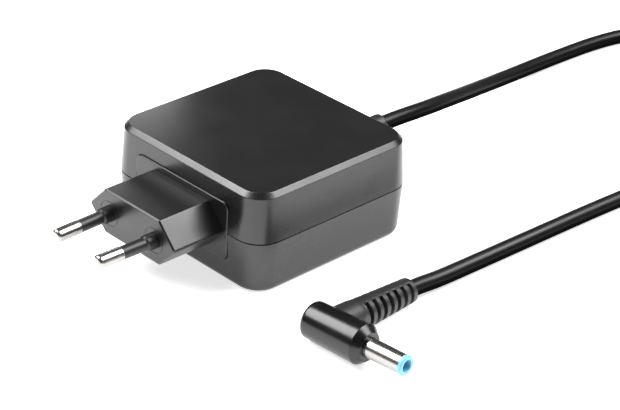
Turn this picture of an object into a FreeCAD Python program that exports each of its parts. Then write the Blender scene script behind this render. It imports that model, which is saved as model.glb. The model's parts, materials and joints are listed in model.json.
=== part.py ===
"""Laptop power adapter that plugs straight into a wall socket, as a parametric FreeCAD document.

Frame: X across the plug's two pins, Y from the pins towards the cord, Z up. The origin is the
centre of the casing's underside. Lengths are millimetres, angles are degrees.

The casing is two drafted shells. A flush insert in the front wall carries the six-sided two-pin
plug body, and a grommet in the back wall holds the output cord. The cord runs to a coil and on to
a right-angled low-voltage plug that lies beside the casing.
"""

import FreeCAD, Part
import math
import os
import Sketcher

from FreeCAD import Placement, Rotation, Vector

doc = FreeCAD.newDocument("power_adapter")
sheet = doc.addObject("Spreadsheet::Sheet", "Dims")

DIMENSIONS = [
    # casing
    ("case_half_x", 31.0, "half width at the parting line"),
    ("case_half_y", 30.2, "half depth at the parting line"),
    ("case_corner", 8.2, "corner radius at the parting line"),
    ("case_top", 30.1, "height of the top face"),
    ("parting_z", 15.5, "height of the parting line"),
    ("upper_draft", 3.9, "draft angle of the upper shell's walls"),
    ("lower_draft", 3.4, "draft angle of the lower shell's walls"),
    ("rim_bevel", 1.35, "bevel round the top face"),
    ("base_round", 1.8, "rounding round the underside"),
    ("groove_bevel", 0.3, "bevel of each shell at the parting line"),
    ("wall", 2.5, "wall thickness at the parting line"),
    ("floor_wall", 2.2, "thickness of the top face and the underside"),
    ("lip_wall", 1.1, "thickness of the locating lip"),
    ("lip_rise", 1.6, "height of the locating lip"),
    ("lip_gap", 0.1, "clearance round the locating lip"),
    ("ledge_depth", 2.0, "height of the ledge that carries the lip"),
    ("ledge_bite", 0.5, "how far the ledge runs into the wall"),
    # mains plug
    ("plate_half_x", 18.9, "half width of the insert in the front wall"),
    ("plate_half_z", 8.75, "half height of the insert"),
    ("plate_corner", 2.0, "corner radius of the insert"),
    ("plate_gap", 0.15, "gap round the insert"),
    ("plug_z", 15.65, "height of the pins' centre line"),
    ("plug_half_wide", 17.9, "half width of the plug body at its widest"),
    ("plug_half_flat", 11.3, "half width of its flat top and bottom"),
    ("plug_half_z", 6.85, "half height of the plug body"),
    ("plug_front", 47.6, "distance of the plug body's front face from the origin"),
    ("plug_round", 0.7, "rounding of the plug body's long edges"),
    ("plug_bevel", 0.4, "bevel round the plug body's front face"),
    ("flange_wall", 1.6, "thickness of the retaining flange inside the wall"),
    ("flange_lap", 1.2, "how far the flange reaches past the insert"),
    # mains pins
    ("pin_spread", 9.3, "half distance between the pins at the plug's face"),
    ("pin_lean", 1.66, "angle by which each pin leans inwards"),
    ("pin_radius", 2.0, "radius of the bare tip"),
    ("pin_core", 1.45, "radius of the pin inside its sleeve"),
    ("pin_length", 19.0, "length of pin in front of the plug's face"),
    ("pin_bare", 8.0, "length of the bare tip"),
    ("pin_round", 1.8, "rounding of the tip"),
    ("pin_inside", 24.6, "length of pin behind the plug's face"),
    ("sleeve_radius", 1.84, "radius of the insulating sleeve"),
    ("sleeve_foot", 0.07, "gap between the sleeve and the plug's face"),
    ("collar_radius", 2.3, "radius of the sleeve's collar"),
    ("collar_length", 3.0, "length of the collar"),
    # cord and grommet
    ("cord_radius", 2.4, "radius of the output cord"),
    ("grommet_radius", 3.4, "radius of the grommet outside the casing"),
    ("grommet_tip", 47.7, "distance of the grommet's outer face from the origin"),
    ("grommet_z", 15.5, "height of the grommet's axis"),
    ("grommet_neck", 4.0, "radius of the neck in the back wall"),
    ("grommet_flange", 5.6, "radius of the flange inside the wall"),
    ("grommet_round", 0.9, "rounding of the outer end"),
    ("grommet_back", 24.9, "distance of the flange's inner face from the origin"),
    # low-voltage plug, measured from where the arm's axis meets the body's axis
    ("dc_x", 59.5, "place of that crossing"),
    ("dc_y", -30.1, "place of that crossing"),
    ("dc_z", 5.6, "height of that crossing"),
    ("dc_yaw", 4.0, "turn of the body about the vertical"),
    ("dc_pitch", 1.3, "rise of the body towards its mouth"),
    ("dc_roll", 3.6, "drop of the arm towards the cord"),
    ("dc_back", 6.8, "length of the body behind the crossing"),
    ("dc_front", 13.2, "length of the body in front of the crossing"),
    ("dc_back_radius", 5.25, "radius of the body at its back"),
    ("dc_front_radius", 5.65, "radius of the body at its front"),
    ("dc_face_radius", 4.0, "radius of the flat front face"),
    ("dc_front_bevel", 2.1, "length of the front bevel"),
    ("dc_round", 1.3, "rounding of the back"),
    ("barrel_radius", 2.75, "radius of the barrel"),
    ("barrel_wall", 0.35, "wall of the barrel"),
    ("barrel_tip", 25.7, "distance of the mouth from the crossing"),
    ("barrel_root", 4.0, "distance of the barrel's inner end from the crossing"),
    ("neck_radius", 2.5, "radius of the barrel's neck, held in the moulded body"),
    ("ring_length", 1.1, "length of the insulator in front of the barrel"),
    ("bore_radius", 1.65, "radius of the bore"),
    ("liner_wall", 0.3, "wall of the inner contact"),
    ("bore_depth", 11.0, "depth of the bore"),
    ("centre_pin_radius", 0.35, "radius of the centre pin"),
    ("centre_pin_foot", 0.6, "radius of the centre pin's foot in the insulator"),
    ("centre_pin_foot_length", 2.0, "length of that foot"),
    ("mouth_round", 0.3, "bevel round the insulator's mouth"),
    ("mouth_lip", 4.0, "length of insulator in front of the inner contact"),
    ("centre_pin_set", 1.6, "how far the centre pin stops behind the mouth"),
    ("arm_length", 31.5, "distance of the arm's end from the crossing"),
    ("arm_root_radius", 4.9, "radius of the arm beside the body"),
    ("arm_waist_radius", 4.7, "radius of the arm's waist"),
    ("arm_rib_radius", 4.5, "radius of the first rib"),
    ("arm_end_radius", 3.6, "radius of the last rib"),
    ("arm_floor_radius", 2.85, "radius at the bottom of the grooves"),
    ("rib_start", 10.7, "distance of the first groove from the crossing"),
    ("rib_pitch", 2.92, "distance between grooves"),
    ("rib_gap", 1.45, "width of a groove"),
    ("rib_spread", 140.0, "angle that each groove covers on each side"),
    # coil of the put-away cord
    ("coil_x", 42.0, "place of the coil's centre"),
    ("coil_y", 181.0, "place of the coil's centre"),
    ("coil_mean", 26.75, "radius of the middle of the turns"),
    ("coil_band", 14.1, "width of the ring of turns"),
    ("coil_height", 20.4, "height of the ring of turns"),
    ("coil_turn", 31.4, "radius of the outermost turn"),
    ("coil_entry", 102.9, "direction from the coil's centre where the cord comes in"),
    ("coil_exit", -12.9, "direction from the coil's centre where the cord leaves"),
    ("coil_exit_z", 17.1, "height at which the cord leaves"),
    ("coil_round", 3.5, "rounding of the ring's edges"),
    ("tie_width", 12.0, "width of the strap round the coil"),
    ("tie_wall", 0.8, "thickness of the strap"),
    ("tie_angle", 150.0, "direction of the strap from the coil's centre"),
    # circuit board and what stands on it
    ("board_half_x", 26.4, "half width of the board"),
    ("board_half_y", 24.6, "half depth of the board"),
    ("board_z", 6.0, "height of the board's underside"),
    ("board_wall", 1.6, "thickness of the board"),
    ("board_top", 7.6, "height of the board's top face"),
    ("post_radius", 2.0, "radius of the posts under the board"),
    ("post_x", 23.0, "place of the posts"),
    ("post_y", 21.0, "place of the posts"),
    ("wire_radius", 0.8, "radius of the leads inside"),
    ("device_width", 10.0, "width of a power package"),
    ("device_depth", 4.4, "thickness of a power package"),
    ("device_height", 15.0, "height of a power package"),
    ("tab_hole", 1.6, "radius of the hole in its tab"),
    ("tab_hole_up", 12.0, "height of that hole above the board"),
    ("sink_wall", 1.6, "thickness of a heatsink plate"),
    ("sink_height", 17.0, "height of a heatsink plate"),
    ("core_half_x", 11.0, "half width of the transformer core"),
    ("core_half_y", 3.5, "half depth of the transformer core"),
    ("core_height", 18.0, "height of the transformer core"),
    ("core_yoke", 2.8, "thickness of its top and bottom limbs"),
    ("core_leg", 3.5, "half width of its middle limb"),
    ("core_window", 8.4, "outer edge of its windows"),
    ("core_x", -1.5, "place of the transformer"),
    ("core_y", 3.0, "place of the transformer"),
    ("choke_ring", 4.6, "radius of the line choke's ring"),
    ("choke_core", 1.7, "radius of its section"),
    ("choke_wound", 2.3, "radius of its section over the winding"),
]

for row, (alias, value, meaning) in enumerate(DIMENSIONS, start=1):
    sheet.set(f"A{row}", meaning)
    sheet.set(f"B{row}", str(value))
    sheet.setAlias(f"B{row}", alias)
doc.recompute()

RIB_GROOVES = 7
TOLERANCE = 0.02

parts = []


def dim(alias):
    """A driving dimension as a number."""
    return float(sheet.get(alias))


def bind(thing, **expressions):
    """Tie properties of an object to expressions on the sheet."""
    for name, expression in expressions.items():
        thing.setExpression(name, expression)
    return thing


def place(thing, x="0", y="0", z="0"):
    """Tie an object's position to expressions on the sheet."""
    for axis, expression in zip("xyz", (x, y, z)):
        thing.setExpression(f"Placement.Base.{axis}", expression)
    return thing


def keep(thing, label):
    """Name an object as a sub-part."""
    thing.Label = label
    parts.append(thing)
    return thing


# ---------------------------------------------------------------- sketches and bodies

def new_body(name):
    return doc.addObject("PartDesign::Body", name)


def new_sketch(body, name, role, offset=None):
    """A sketch on one of the body's own origin planes, moved along the plane's normal."""
    sketch = body.newObject("Sketcher::SketchObject", name)
    plane = next(p for p in body.Origin.OriginFeatures if p.Role == role)
    sketch.AttachmentSupport = [(plane, "")]
    sketch.MapMode = "FlatFace"
    if offset:
        sketch.setExpression("AttachmentOffset.Base.z", offset)
    return sketch


def measured(sketch, kind, *arguments):
    """What a dimensional constraint would measure on the sketch as it stands."""
    if kind == "Radius":
        return sketch.Geometry[arguments[0]].Radius
    start = sketch.getPoint(arguments[0], arguments[1])
    end = sketch.getPoint(arguments[2], arguments[3])
    return end.x - start.x if kind == "DistanceX" else end.y - start.y


def constrain(sketch, expression, *arguments):
    """Add a dimensional constraint that holds as drawn, then tie it to an expression."""
    value = measured(sketch, *arguments)
    index = sketch.addConstraint(Sketcher.Constraint(*arguments, value))
    sketch.setExpression(f"Constraints[{index}]", expression)


def pin_point(sketch, line, x, y):
    """Fix the start of a line at (x, y), each an expression that may start with a minus sign."""
    for kind, axis, expression in (("DistanceX", -2, x), ("DistanceY", -1, y)):
        if expression == "0":
            sketch.addConstraint(Sketcher.Constraint("PointOnObject", line, 1, axis))
        elif expression.startswith("-"):
            constrain(sketch, expression[1:], kind, line, 1, -1, 1)
        else:
            constrain(sketch, expression, kind, -1, 1, line, 1)


def rough_place(expression, number):
    """Where to draw a point before its constraints take hold: on the right side of the axis."""
    if expression == "0":
        return 0.0
    return (-1 if expression.startswith("-") else 1) * (10 + 1.3 * number + 0.2 * number ** 2)


def outline(sketch, corners):
    """A closed outline of straight lines whose corners are pairs of expressions."""
    first = sketch.GeometryCount
    count = len(corners)
    spots = []
    for number, (x, y) in enumerate(corners):
        spots.append(Vector(rough_place(x, number), rough_place(y, number + 1), 0))
    for number in range(count):
        sketch.addGeometry(Part.LineSegment(spots[number], spots[(number + 1) % count]), False)
    for number in range(count):
        follower = first + (number + 1) % count
        sketch.addConstraint(Sketcher.Constraint("Coincident", first + number, 2, follower, 1))
    for number, (x, y) in enumerate(corners):
        pin_point(sketch, first + number, x, y)


def rounded_rectangle(sketch, half_x, half_y, radius):
    """A rectangle with round corners, centred on the sketch's origin."""
    first = sketch.GeometryCount
    wide, tall, round_ = 20.0, 15.0, 3.0
    sides = [
        ((-wide + round_, -tall), (wide - round_, -tall)),
        ((wide, -tall + round_), (wide, tall - round_)),
        ((wide - round_, tall), (-wide + round_, tall)),
        ((-wide, tall - round_), (-wide, -tall + round_)),
    ]
    centres = [
        (wide - round_, -tall + round_),
        (wide - round_, tall - round_),
        (-wide + round_, tall - round_),
        (-wide + round_, -tall + round_),
    ]
    up = Vector(0, 0, 1)
    for number in range(4):
        start, end = sides[number]
        sketch.addGeometry(Part.LineSegment(Vector(*start, 0), Vector(*end, 0)), False)
        begin = math.radians(-90 + 90 * number)
        circle = Part.Circle(Vector(*centres[number], 0), up, round_)
        sketch.addGeometry(Part.ArcOfCircle(circle, begin, begin + math.pi / 2), False)
    for number in range(4):
        line = first + 2 * number
        arc = line + 1
        next_line = first + (2 * number + 2) % 8
        sketch.addConstraint(Sketcher.Constraint("Tangent", line, 2, arc, 1))
        sketch.addConstraint(Sketcher.Constraint("Tangent", arc, 2, next_line, 1))
        sketch.addConstraint(Sketcher.Constraint("Vertical" if number % 2 else "Horizontal", line))
        if number:
            sketch.addConstraint(Sketcher.Constraint("Equal", first + 1, arc))
    constrain(sketch, half_x, "DistanceX", -1, 1, first + 2, 1)
    constrain(sketch, half_y, "DistanceY", -1, 1, first + 4, 1)
    constrain(sketch, half_x, "DistanceX", first + 6, 1, -1, 1)
    constrain(sketch, half_y, "DistanceY", first, 1, -1, 1)
    constrain(sketch, radius, "Radius", first + 1)


def pad(body, name, sketch, length, reverse=False, taper=None):
    """Add material on a sketch."""
    padded = body.newObject("PartDesign::Pad", name)
    padded.Profile = sketch
    padded.Reversed = reverse
    padded.setExpression("Length", length)
    if taper:
        padded.setExpression("TaperAngle", taper)
    doc.recompute()
    return padded


def pocket(body, name, sketch, length, reverse=False, taper=None):
    """Take material away under a sketch, and make sure that it did."""
    before = body.Shape.Volume
    pocketed = body.newObject("PartDesign::Pocket", name)
    pocketed.Profile = sketch
    pocketed.Reversed = reverse
    pocketed.setExpression("Length", length)
    if taper:
        pocketed.setExpression("TaperAngle", taper)
    doc.recompute()
    if body.Shape.Volume >= before - TOLERANCE:
        raise RuntimeError(f"{name} cuts nothing")
    return pocketed


def dress(body, name, kind, base, chosen, size):
    """A fillet or chamfer on the edges that chosen(edge) picks."""
    names = []
    for number, edge in enumerate(base.Shape.Edges, start=1):
        if chosen(edge):
            names.append(f"Edge{number}")
    if not names:
        raise RuntimeError(f"{name} finds no edge")
    dressed = body.newObject(f"PartDesign::{kind}", name)
    dressed.Base = (base, names)
    dressed.setExpression("Radius" if kind == "Fillet" else "Size", size)
    doc.recompute()
    return dressed


def edge_at_z(height, reach=0.0):
    """Picks edges that lie wholly at one height and at least reach away from the axis."""
    def chosen(edge):
        box = edge.BoundBox
        level = abs(box.ZMin - height) < TOLERANCE and abs(box.ZMax - height) < TOLERANCE
        far = max(abs(box.XMin), abs(box.XMax), abs(box.YMin), abs(box.YMax))
        return level and far > reach
    return chosen


def turned(name, profile):
    """A body turned about its own Z from a closed profile of (radius, height) expressions."""
    body = new_body(name)
    sketch = new_sketch(body, f"{name}_profile", "XZ_Plane")
    outline(sketch, profile)
    doc.recompute()
    revolved = body.newObject("PartDesign::Revolution", f"{name}_turn")
    revolved.Profile = sketch
    revolved.ReferenceAxis = (sketch, ["V_Axis"])
    revolved.Angle = 360
    doc.recompute()
    return body, revolved


def block(name, length, width, height, x, y, z):
    """A box with its lowest corner at (x, y, z), all expressions."""
    thing = doc.addObject("Part::Box", name)
    bind(thing, Length=length, Width=width, Height=height)
    return place(thing, x, y, z)


def cylinder(name, radius, height, x, y, z, rotation=None):
    """A cylinder with the centre of its lower face at (x, y, z), turned about that point."""
    thing = doc.addObject("Part::Cylinder", name)
    if rotation:
        thing.Placement = Placement(Vector(), rotation)
    bind(thing, Radius=radius, Height=height)
    return place(thing, x, y, z)


def cut(name, base, tool):
    thing = doc.addObject("Part::Cut", name)
    thing.Base = base
    thing.Tool = tool
    return thing


def fuse(name, *pieces):
    thing = doc.addObject("Part::MultiFuse", name)
    thing.Shapes = list(pieces)
    return thing


# ---------------------------------------------------------------- casing

def shell_blank(name, upward):
    """One drafted half of the casing, open at the parting line and bevelled along it."""
    body = new_body(name)
    reverse = not upward
    edge = new_sketch(body, f"{name}_parting_edge", "XY_Plane", "Dims.parting_z")
    rounded_rectangle(edge, "Dims.case_half_x - Dims.groove_bevel",
                      "Dims.case_half_y - Dims.groove_bevel",
                      "Dims.case_corner - Dims.groove_bevel")
    pad(body, f"{name}_bevel", edge, "Dims.groove_bevel", reverse, taper="45")
    start = "Dims.parting_z + Dims.groove_bevel" if upward else "Dims.parting_z - Dims.groove_bevel"
    half = new_sketch(body, f"{name}_outline", "XY_Plane", start)
    rounded_rectangle(half, "Dims.case_half_x", "Dims.case_half_y", "Dims.case_corner")
    height = "Dims.case_top - Dims.parting_z" if upward else "Dims.parting_z"
    draft = "-Dims.upper_draft" if upward else "-Dims.lower_draft"
    wall = pad(body, f"{name}_wall", half, f"{height} - Dims.groove_bevel", reverse, draft)
    if upward:
        dress(body, f"{name}_rim", "Chamfer", wall, edge_at_z(dim("case_top")), "Dims.rim_bevel")
    else:
        dress(body, f"{name}_rim", "Fillet", wall, edge_at_z(0.0), "Dims.base_round")
    inside = new_sketch(body, f"{name}_inside", "XY_Plane", "Dims.parting_z")
    rounded_rectangle(inside, "Dims.case_half_x - Dims.wall", "Dims.case_half_y - Dims.wall",
                      "Dims.case_corner - Dims.wall")
    pocket(body, f"{name}_hollow", inside, f"{height} - Dims.floor_wall", reverse=upward)
    return body


def round_hole(body, name, offset, radius, height, length, reverse=False):
    """Cut a round hole along Y, centred on the plane X = 0."""
    sketch = new_sketch(body, f"{name}_circle", "XZ_Plane", offset)
    number = sketch.addGeometry(Part.Circle(Vector(), Vector(0, 0, 1), 4.0), False)
    sketch.addConstraint(Sketcher.Constraint("Coincident", number, 3, -1, 1))
    constrain(sketch, radius, "Radius", number)
    sketch.setExpression("AttachmentOffset.Base.y", height)
    return pocket(body, name, sketch, length, reverse)


def insert_opening(body, name, grow, offset, length, reverse):
    """Cut a rounded opening in line with the mains plug."""
    sketch = new_sketch(body, f"{name}_outline", "XZ_Plane", offset)
    rounded_rectangle(sketch, f"Dims.plate_half_x + {grow}", f"Dims.plate_half_z + {grow}",
                      "Dims.plate_corner")
    sketch.setExpression("AttachmentOffset.Base.y", "Dims.plug_z")
    return pocket(body, name, sketch, length, reverse)


def wall_openings(body, name):
    """Cut the mouth for the insert and the seat for the grommet's neck."""
    insert_opening(body, f"{name}_mouth", "Dims.plate_gap", "Dims.case_half_y - Dims.wall - 2",
                   "Dims.wall + 4", reverse=True)
    round_hole(body, f"{name}_seat", "Dims.wall + 2 - Dims.case_half_y", "Dims.grommet_neck",
               "Dims.grommet_z", "Dims.wall + 4")


def make_top_cover():
    body = shell_blank("top_cover", upward=True)
    wall_openings(body, "top_cover")
    return keep(body, "top_cover")


def make_bottom_cover():
    """The lower shell, with a lip that locates the upper one and posts that carry the board."""
    body = shell_blank("bottom_cover", upward=False)
    lip_inner = "(Dims.wall + Dims.lip_gap + Dims.lip_wall)"
    for stage, ring_outer, rise, reverse in (
            ("ledge", "(Dims.wall - Dims.ledge_bite)", "Dims.ledge_depth", True),
            ("lip", "(Dims.wall + Dims.lip_gap)", "Dims.lip_rise", False)):
        ring = new_sketch(body, f"bottom_cover_{stage}_ring", "XY_Plane", "Dims.parting_z")
        rounded_rectangle(ring, f"Dims.case_half_x - {ring_outer}",
                          f"Dims.case_half_y - {ring_outer}", "Dims.case_corner - Dims.wall")
        rounded_rectangle(ring, f"Dims.case_half_x - {lip_inner}",
                          f"Dims.case_half_y - {lip_inner}",
                          "Dims.case_corner - Dims.wall - Dims.lip_wall")
        pad(body, f"bottom_cover_{stage}", ring, rise, reverse)
    posts = new_sketch(body, "bottom_cover_post_circles", "XY_Plane", "Dims.floor_wall")
    for side in (1, -1):
        for end in (1, -1):
            spot = Vector(20 * side, 20 * end, 0)
            number = posts.addGeometry(Part.Circle(spot, Vector(0, 0, 1), 2.0), False)
            constrain(posts, "Dims.post_radius", "Radius", number)
            across = (-1, 1, number, 3) if side > 0 else (number, 3, -1, 1)
            along = (-1, 1, number, 3) if end > 0 else (number, 3, -1, 1)
            constrain(posts, "Dims.post_x", "DistanceX", *across)
            constrain(posts, "Dims.post_y", "DistanceY", *along)
    pad(body, "bottom_cover_posts", posts, "Dims.board_z - Dims.floor_wall")
    wall_openings(body, "bottom_cover")
    insert_opening(body, "bottom_cover_flange_room", "Dims.flange_lap + Dims.plate_gap",
                   "Dims.case_half_y - Dims.wall", "3", reverse=False)
    return keep(body, "bottom_cover")


# ---------------------------------------------------------------- mains plug

def pin_rotation(side):
    """Points a pin's own Z out of the plug, leaning towards the middle."""
    lean = Rotation(Vector(0, 0, 1), side * -dim("pin_lean"))
    return lean * Rotation(Vector(1, 0, 0), 90)


def set_on_pin(thing, side, along="0"):
    """Put a turned piece on a pin's axis, `along` mm in front of the plug's face."""
    thing.Placement = Placement(Vector(), pin_rotation(side))
    sign = "" if side > 0 else "-"
    sine = "sin(Dims.pin_lean * 1 deg)"
    cosine = "cos(Dims.pin_lean * 1 deg)"
    return place(thing, f"{sign}(Dims.pin_spread - ({along}) * {sine})",
                 f"-Dims.plug_front - ({along}) * {cosine}", "Dims.plug_z")


def make_plug_housing():
    """Insert plate, retaining flange and six-sided plug body in one moulding."""
    body = new_body("plug_moulding")
    inner_face = "(Dims.case_half_y - Dims.wall)"
    plate = new_sketch(body, "plug_housing_plate_outline", "XZ_Plane", inner_face)
    rounded_rectangle(plate, "Dims.plate_half_x", "Dims.plate_half_z", "Dims.plate_corner")
    plate.setExpression("AttachmentOffset.Base.y", "Dims.plug_z")
    pad(body, "plug_housing_plate", plate, "Dims.wall")
    flange = new_sketch(body, "plug_housing_flange_outline", "XZ_Plane",
                        f"{inner_face} - 0.05")
    rounded_rectangle(flange, "Dims.plate_half_x + Dims.flange_lap",
                      "Dims.plate_half_z + Dims.flange_lap", "Dims.plate_corner")
    flange.setExpression("AttachmentOffset.Base.y", "Dims.plug_z")
    pad(body, "plug_housing_flange", flange, "Dims.flange_wall", reverse=True)
    join = new_sketch(body, "plug_housing_join_outline", "XZ_Plane", f"{inner_face} - 0.5")
    rounded_rectangle(join, "Dims.plate_half_x - 1", "Dims.plate_half_z - 1",
                      "Dims.plate_corner")
    join.setExpression("AttachmentOffset.Base.y", "Dims.plug_z")
    pad(body, "plug_housing_join", join, "1")
    prism = new_sketch(body, "plug_housing_prism_outline", "XZ_Plane", inner_face)
    outline(prism, [
        ("-Dims.plug_half_flat", "-Dims.plug_half_z"),
        ("Dims.plug_half_flat", "-Dims.plug_half_z"),
        ("Dims.plug_half_wide", "0"),
        ("Dims.plug_half_flat", "Dims.plug_half_z"),
        ("-Dims.plug_half_flat", "Dims.plug_half_z"),
        ("-Dims.plug_half_wide", "0"),
    ])
    prism.setExpression("AttachmentOffset.Base.y", "Dims.plug_z")
    solid = pad(body, "plug_housing_prism", prism, f"Dims.plug_front - {inner_face}")

    def long_edge(edge):
        box = edge.BoundBox
        return box.YLength > 10 and box.XLength < TOLERANCE and box.ZLength < TOLERANCE \
            and box.YMin < -dim("plug_front") + TOLERANCE

    def front_edge(edge):
        return edge.BoundBox.YMax < -dim("plug_front") + TOLERANCE

    rounded = dress(body, "plug_housing_round", "Fillet", solid, long_edge, "Dims.plug_round")
    dress(body, "plug_housing_bevel", "Chamfer", rounded, front_edge, "Dims.plug_bevel")
    drills = []
    for side, word in ((-1, "left"), (1, "right")):
        drill = doc.addObject("Part::Cylinder", f"pin_drill_{word}")
        bind(drill, Radius="Dims.pin_core", Height="Dims.pin_inside + 2")
        drills.append(set_on_pin(drill, side, "1 - (Dims.pin_inside + 1)"))
    drilled = cut("plug_housing_drilled", body, fuse("pin_drills", *drills))
    return keep(drilled, "plug_housing")


def make_pin(side, word):
    """A mains pin: thin inside its sleeve and the plug body, full size at the bare tip."""
    shoulder = "(Dims.pin_inside + Dims.pin_length - Dims.pin_bare)"
    tip = "(Dims.pin_inside + Dims.pin_length)"
    body, blank = turned(f"plug_pin_{word}", [
        ("0", "0"),
        ("Dims.pin_core", "0"),
        ("Dims.pin_core", shoulder),
        ("Dims.pin_radius", shoulder),
        ("Dims.pin_radius", tip),
        ("0", tip),
    ])
    dress(body, f"plug_pin_{word}_tip", "Fillet", blank,
          edge_at_z(dim("pin_inside") + dim("pin_length")), "Dims.pin_round")
    set_on_pin(body, side, "-Dims.pin_inside")
    return keep(body, f"plug_pin_{word}")


def make_pin_sleeve(side, word):
    """Insulating sleeve with a collar at its root."""
    sleeve_end = "(Dims.pin_length - Dims.pin_bare - Dims.sleeve_foot)"
    body, _ = turned(f"pin_sleeve_{word}", [
        ("Dims.pin_core", "0"),
        ("Dims.collar_radius", "0"),
        ("Dims.collar_radius", "Dims.collar_length"),
        ("Dims.sleeve_radius", "Dims.collar_length + 0.4"),
        ("Dims.sleeve_radius", sleeve_end),
        ("Dims.pin_core", sleeve_end),
    ])
    set_on_pin(body, side, "Dims.sleeve_foot")
    return keep(body, f"pin_sleeve_{word}")


# ---------------------------------------------------------------- cord

def fillet_radius(before, corner, after):
    """Radius and tangent length of the arc at a corner: 0.45 of the shorter run."""
    inward = corner - before
    outward = after - corner
    half_turn = inward.getAngle(outward) / 2
    reach = 0.45 * min(inward.Length, outward.Length)
    return reach / math.tan(half_turn), reach


def tube(route, radius):
    """A round tube along straight runs joined by tangent arcs, and the length of its path."""
    edges = []
    radii = []
    last = route[0]
    for before, corner, after in zip(route, route[1:], route[2:]):
        arc_radius, reach = fillet_radius(before, corner, after)
        radii.append(arc_radius)
        into = (corner - before).normalize()
        out = (after - corner).normalize()
        start = corner - into * reach
        end = corner + out * reach
        half_turn = into.getAngle(out) / 2
        towards = (out - into).normalize()
        middle = corner + towards * arc_radius * (1 / math.cos(half_turn) - 1)
        edges.append(Part.LineSegment(last, start).toShape())
        edges.append(Part.Arc(start, middle, end).toShape())
        last = end
    edges.append(Part.LineSegment(last, route[-1]).toShape())
    path = Part.Wire(edges)
    mouth = Part.Wire([Part.Circle(route[0], route[1] - route[0], radius).toShape()])
    solid = path.makePipeShell([mouth], True, False)
    expected = math.pi * radius ** 2 * path.Length
    print(f"  path {path.Length:.1f} mm, arc radii {[round(value) for value in radii]}")
    print(f"  volume {solid.Volume:.0f}, section times length {expected:.0f}")
    return solid, path.Length


def feature(name, shape, label):
    """A sub-part whose shape is worked out here."""
    thing = doc.addObject("Part::Feature", name)
    thing.Shape = shape
    return keep(thing, label)


def coil_ring():
    """The ring of put-away turns: a rounded rectangular section turned about the coil's axis."""
    inner = dim("coil_mean") - dim("coil_band") / 2
    outer = dim("coil_mean") + dim("coil_band") / 2
    centre = Vector(dim("coil_x"), dim("coil_y"), 0)
    ring = Part.makeCylinder(outer, dim("coil_height"), centre)
    ring = ring.cut(Part.makeCylinder(inner, dim("coil_height"), centre))
    edges = [edge for edge in ring.Edges if edge.BoundBox.ZLength < TOLERANCE]
    return ring.makeFillet(dim("coil_round"), edges)


def make_cord():
    """Run out of the grommet, coil, and run back to the low-voltage plug."""
    coil = coil_ring()
    coil = coil.cut(make_tie(coil))
    for label, route in (("cord_run_out", run_out_route()), ("cord_run_back", run_back_route())):
        print(label)
        solid, length = tube(route, dim("cord_radius"))
        feature(label, solid, label)
        coil = coil.cut(solid)
    feature("cord_coil", coil, "cord_coil")


def make_tie(ring):
    """The strap round the turns, flush with the ring's top, bottom and sides."""
    centre = Vector(dim("coil_x"), dim("coil_y"), 0)
    wall = dim("tie_wall")
    reach = dim("coil_mean") + dim("coil_band")
    slab = Part.makeBox(reach, dim("tie_width"), dim("coil_height"),
                        Vector(0, -dim("tie_width") / 2, 0))
    slab.Placement = Placement(centre, Rotation(Vector(0, 0, 1), dim("tie_angle")))
    slice_ = ring.common(slab)
    inner = dim("coil_mean") - dim("coil_band") / 2 + wall
    outer = dim("coil_mean") + dim("coil_band") / 2 - wall
    height = dim("coil_height") - 2 * wall
    floor = centre + Vector(0, 0, wall)
    core = Part.makeCylinder(outer, height, floor).cut(Part.makeCylinder(inner, height, floor))
    edges = [edge for edge in core.Edges if edge.BoundBox.ZLength < TOLERANCE]
    core = core.makeFillet(dim("coil_round") - wall / 2, edges)
    strap = slice_.cut(core)
    feature("cord_tie", strap, "cord_tie")
    return strap


def arm_point(along):
    """A point on the arm's axis of the low-voltage plug, `along` mm from the crossing."""
    return dc_placement().multVec(Vector(0, along, 0))


def coil_point(degrees, height):
    """A point on the outermost turn of the coil."""
    turn = math.radians(degrees)
    radius = dim("coil_turn")
    return Vector(dim("coil_x") + radius * math.cos(turn),
                  dim("coil_y") + radius * math.sin(turn), height)


def run_out_route():
    """Hand-laid route from the grommet to the coil's lowest outer turn."""
    floor = dim("cord_radius")
    return [
        Vector(0, dim("grommet_tip"), dim("grommet_z")),
        Vector(0, 54, dim("grommet_z")),
        Vector(-0.4, 66, 14.5),
        Vector(-3.35, 80, 12.0),
        Vector(-8.4, 99, 7.8),
        Vector(-12.9, 120, 4.1),
        Vector(-15.0, 144, floor),
        Vector(-13.8, 170, floor),
        Vector(-9.0, 187, floor),
        Vector(2.4, 200, floor),
        Vector(18.4, 208, floor),
        coil_point(dim("coil_entry"), floor),
    ]


def run_back_route():
    """Hand-laid route from the coil's highest outer turn to the end of the plug's arm."""
    floor = dim("cord_radius")
    return [
        coil_point(dim("coil_exit"), dim("coil_exit_z")),
        Vector(69.7, 157, 14.3),
        Vector(66.3, 139, 9.5),
        Vector(64.0, 121, 4.7),
        Vector(61.7, 101, floor),
        Vector(60.0, 78, floor),
        Vector(58.8, 50, floor),
        Vector(57.7, 24.5, floor),
        Vector(57.5, 12.0, 2.75),
        arm_point(dim("arm_length") + 3.5),
        arm_point(dim("arm_length")),
    ]


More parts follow.
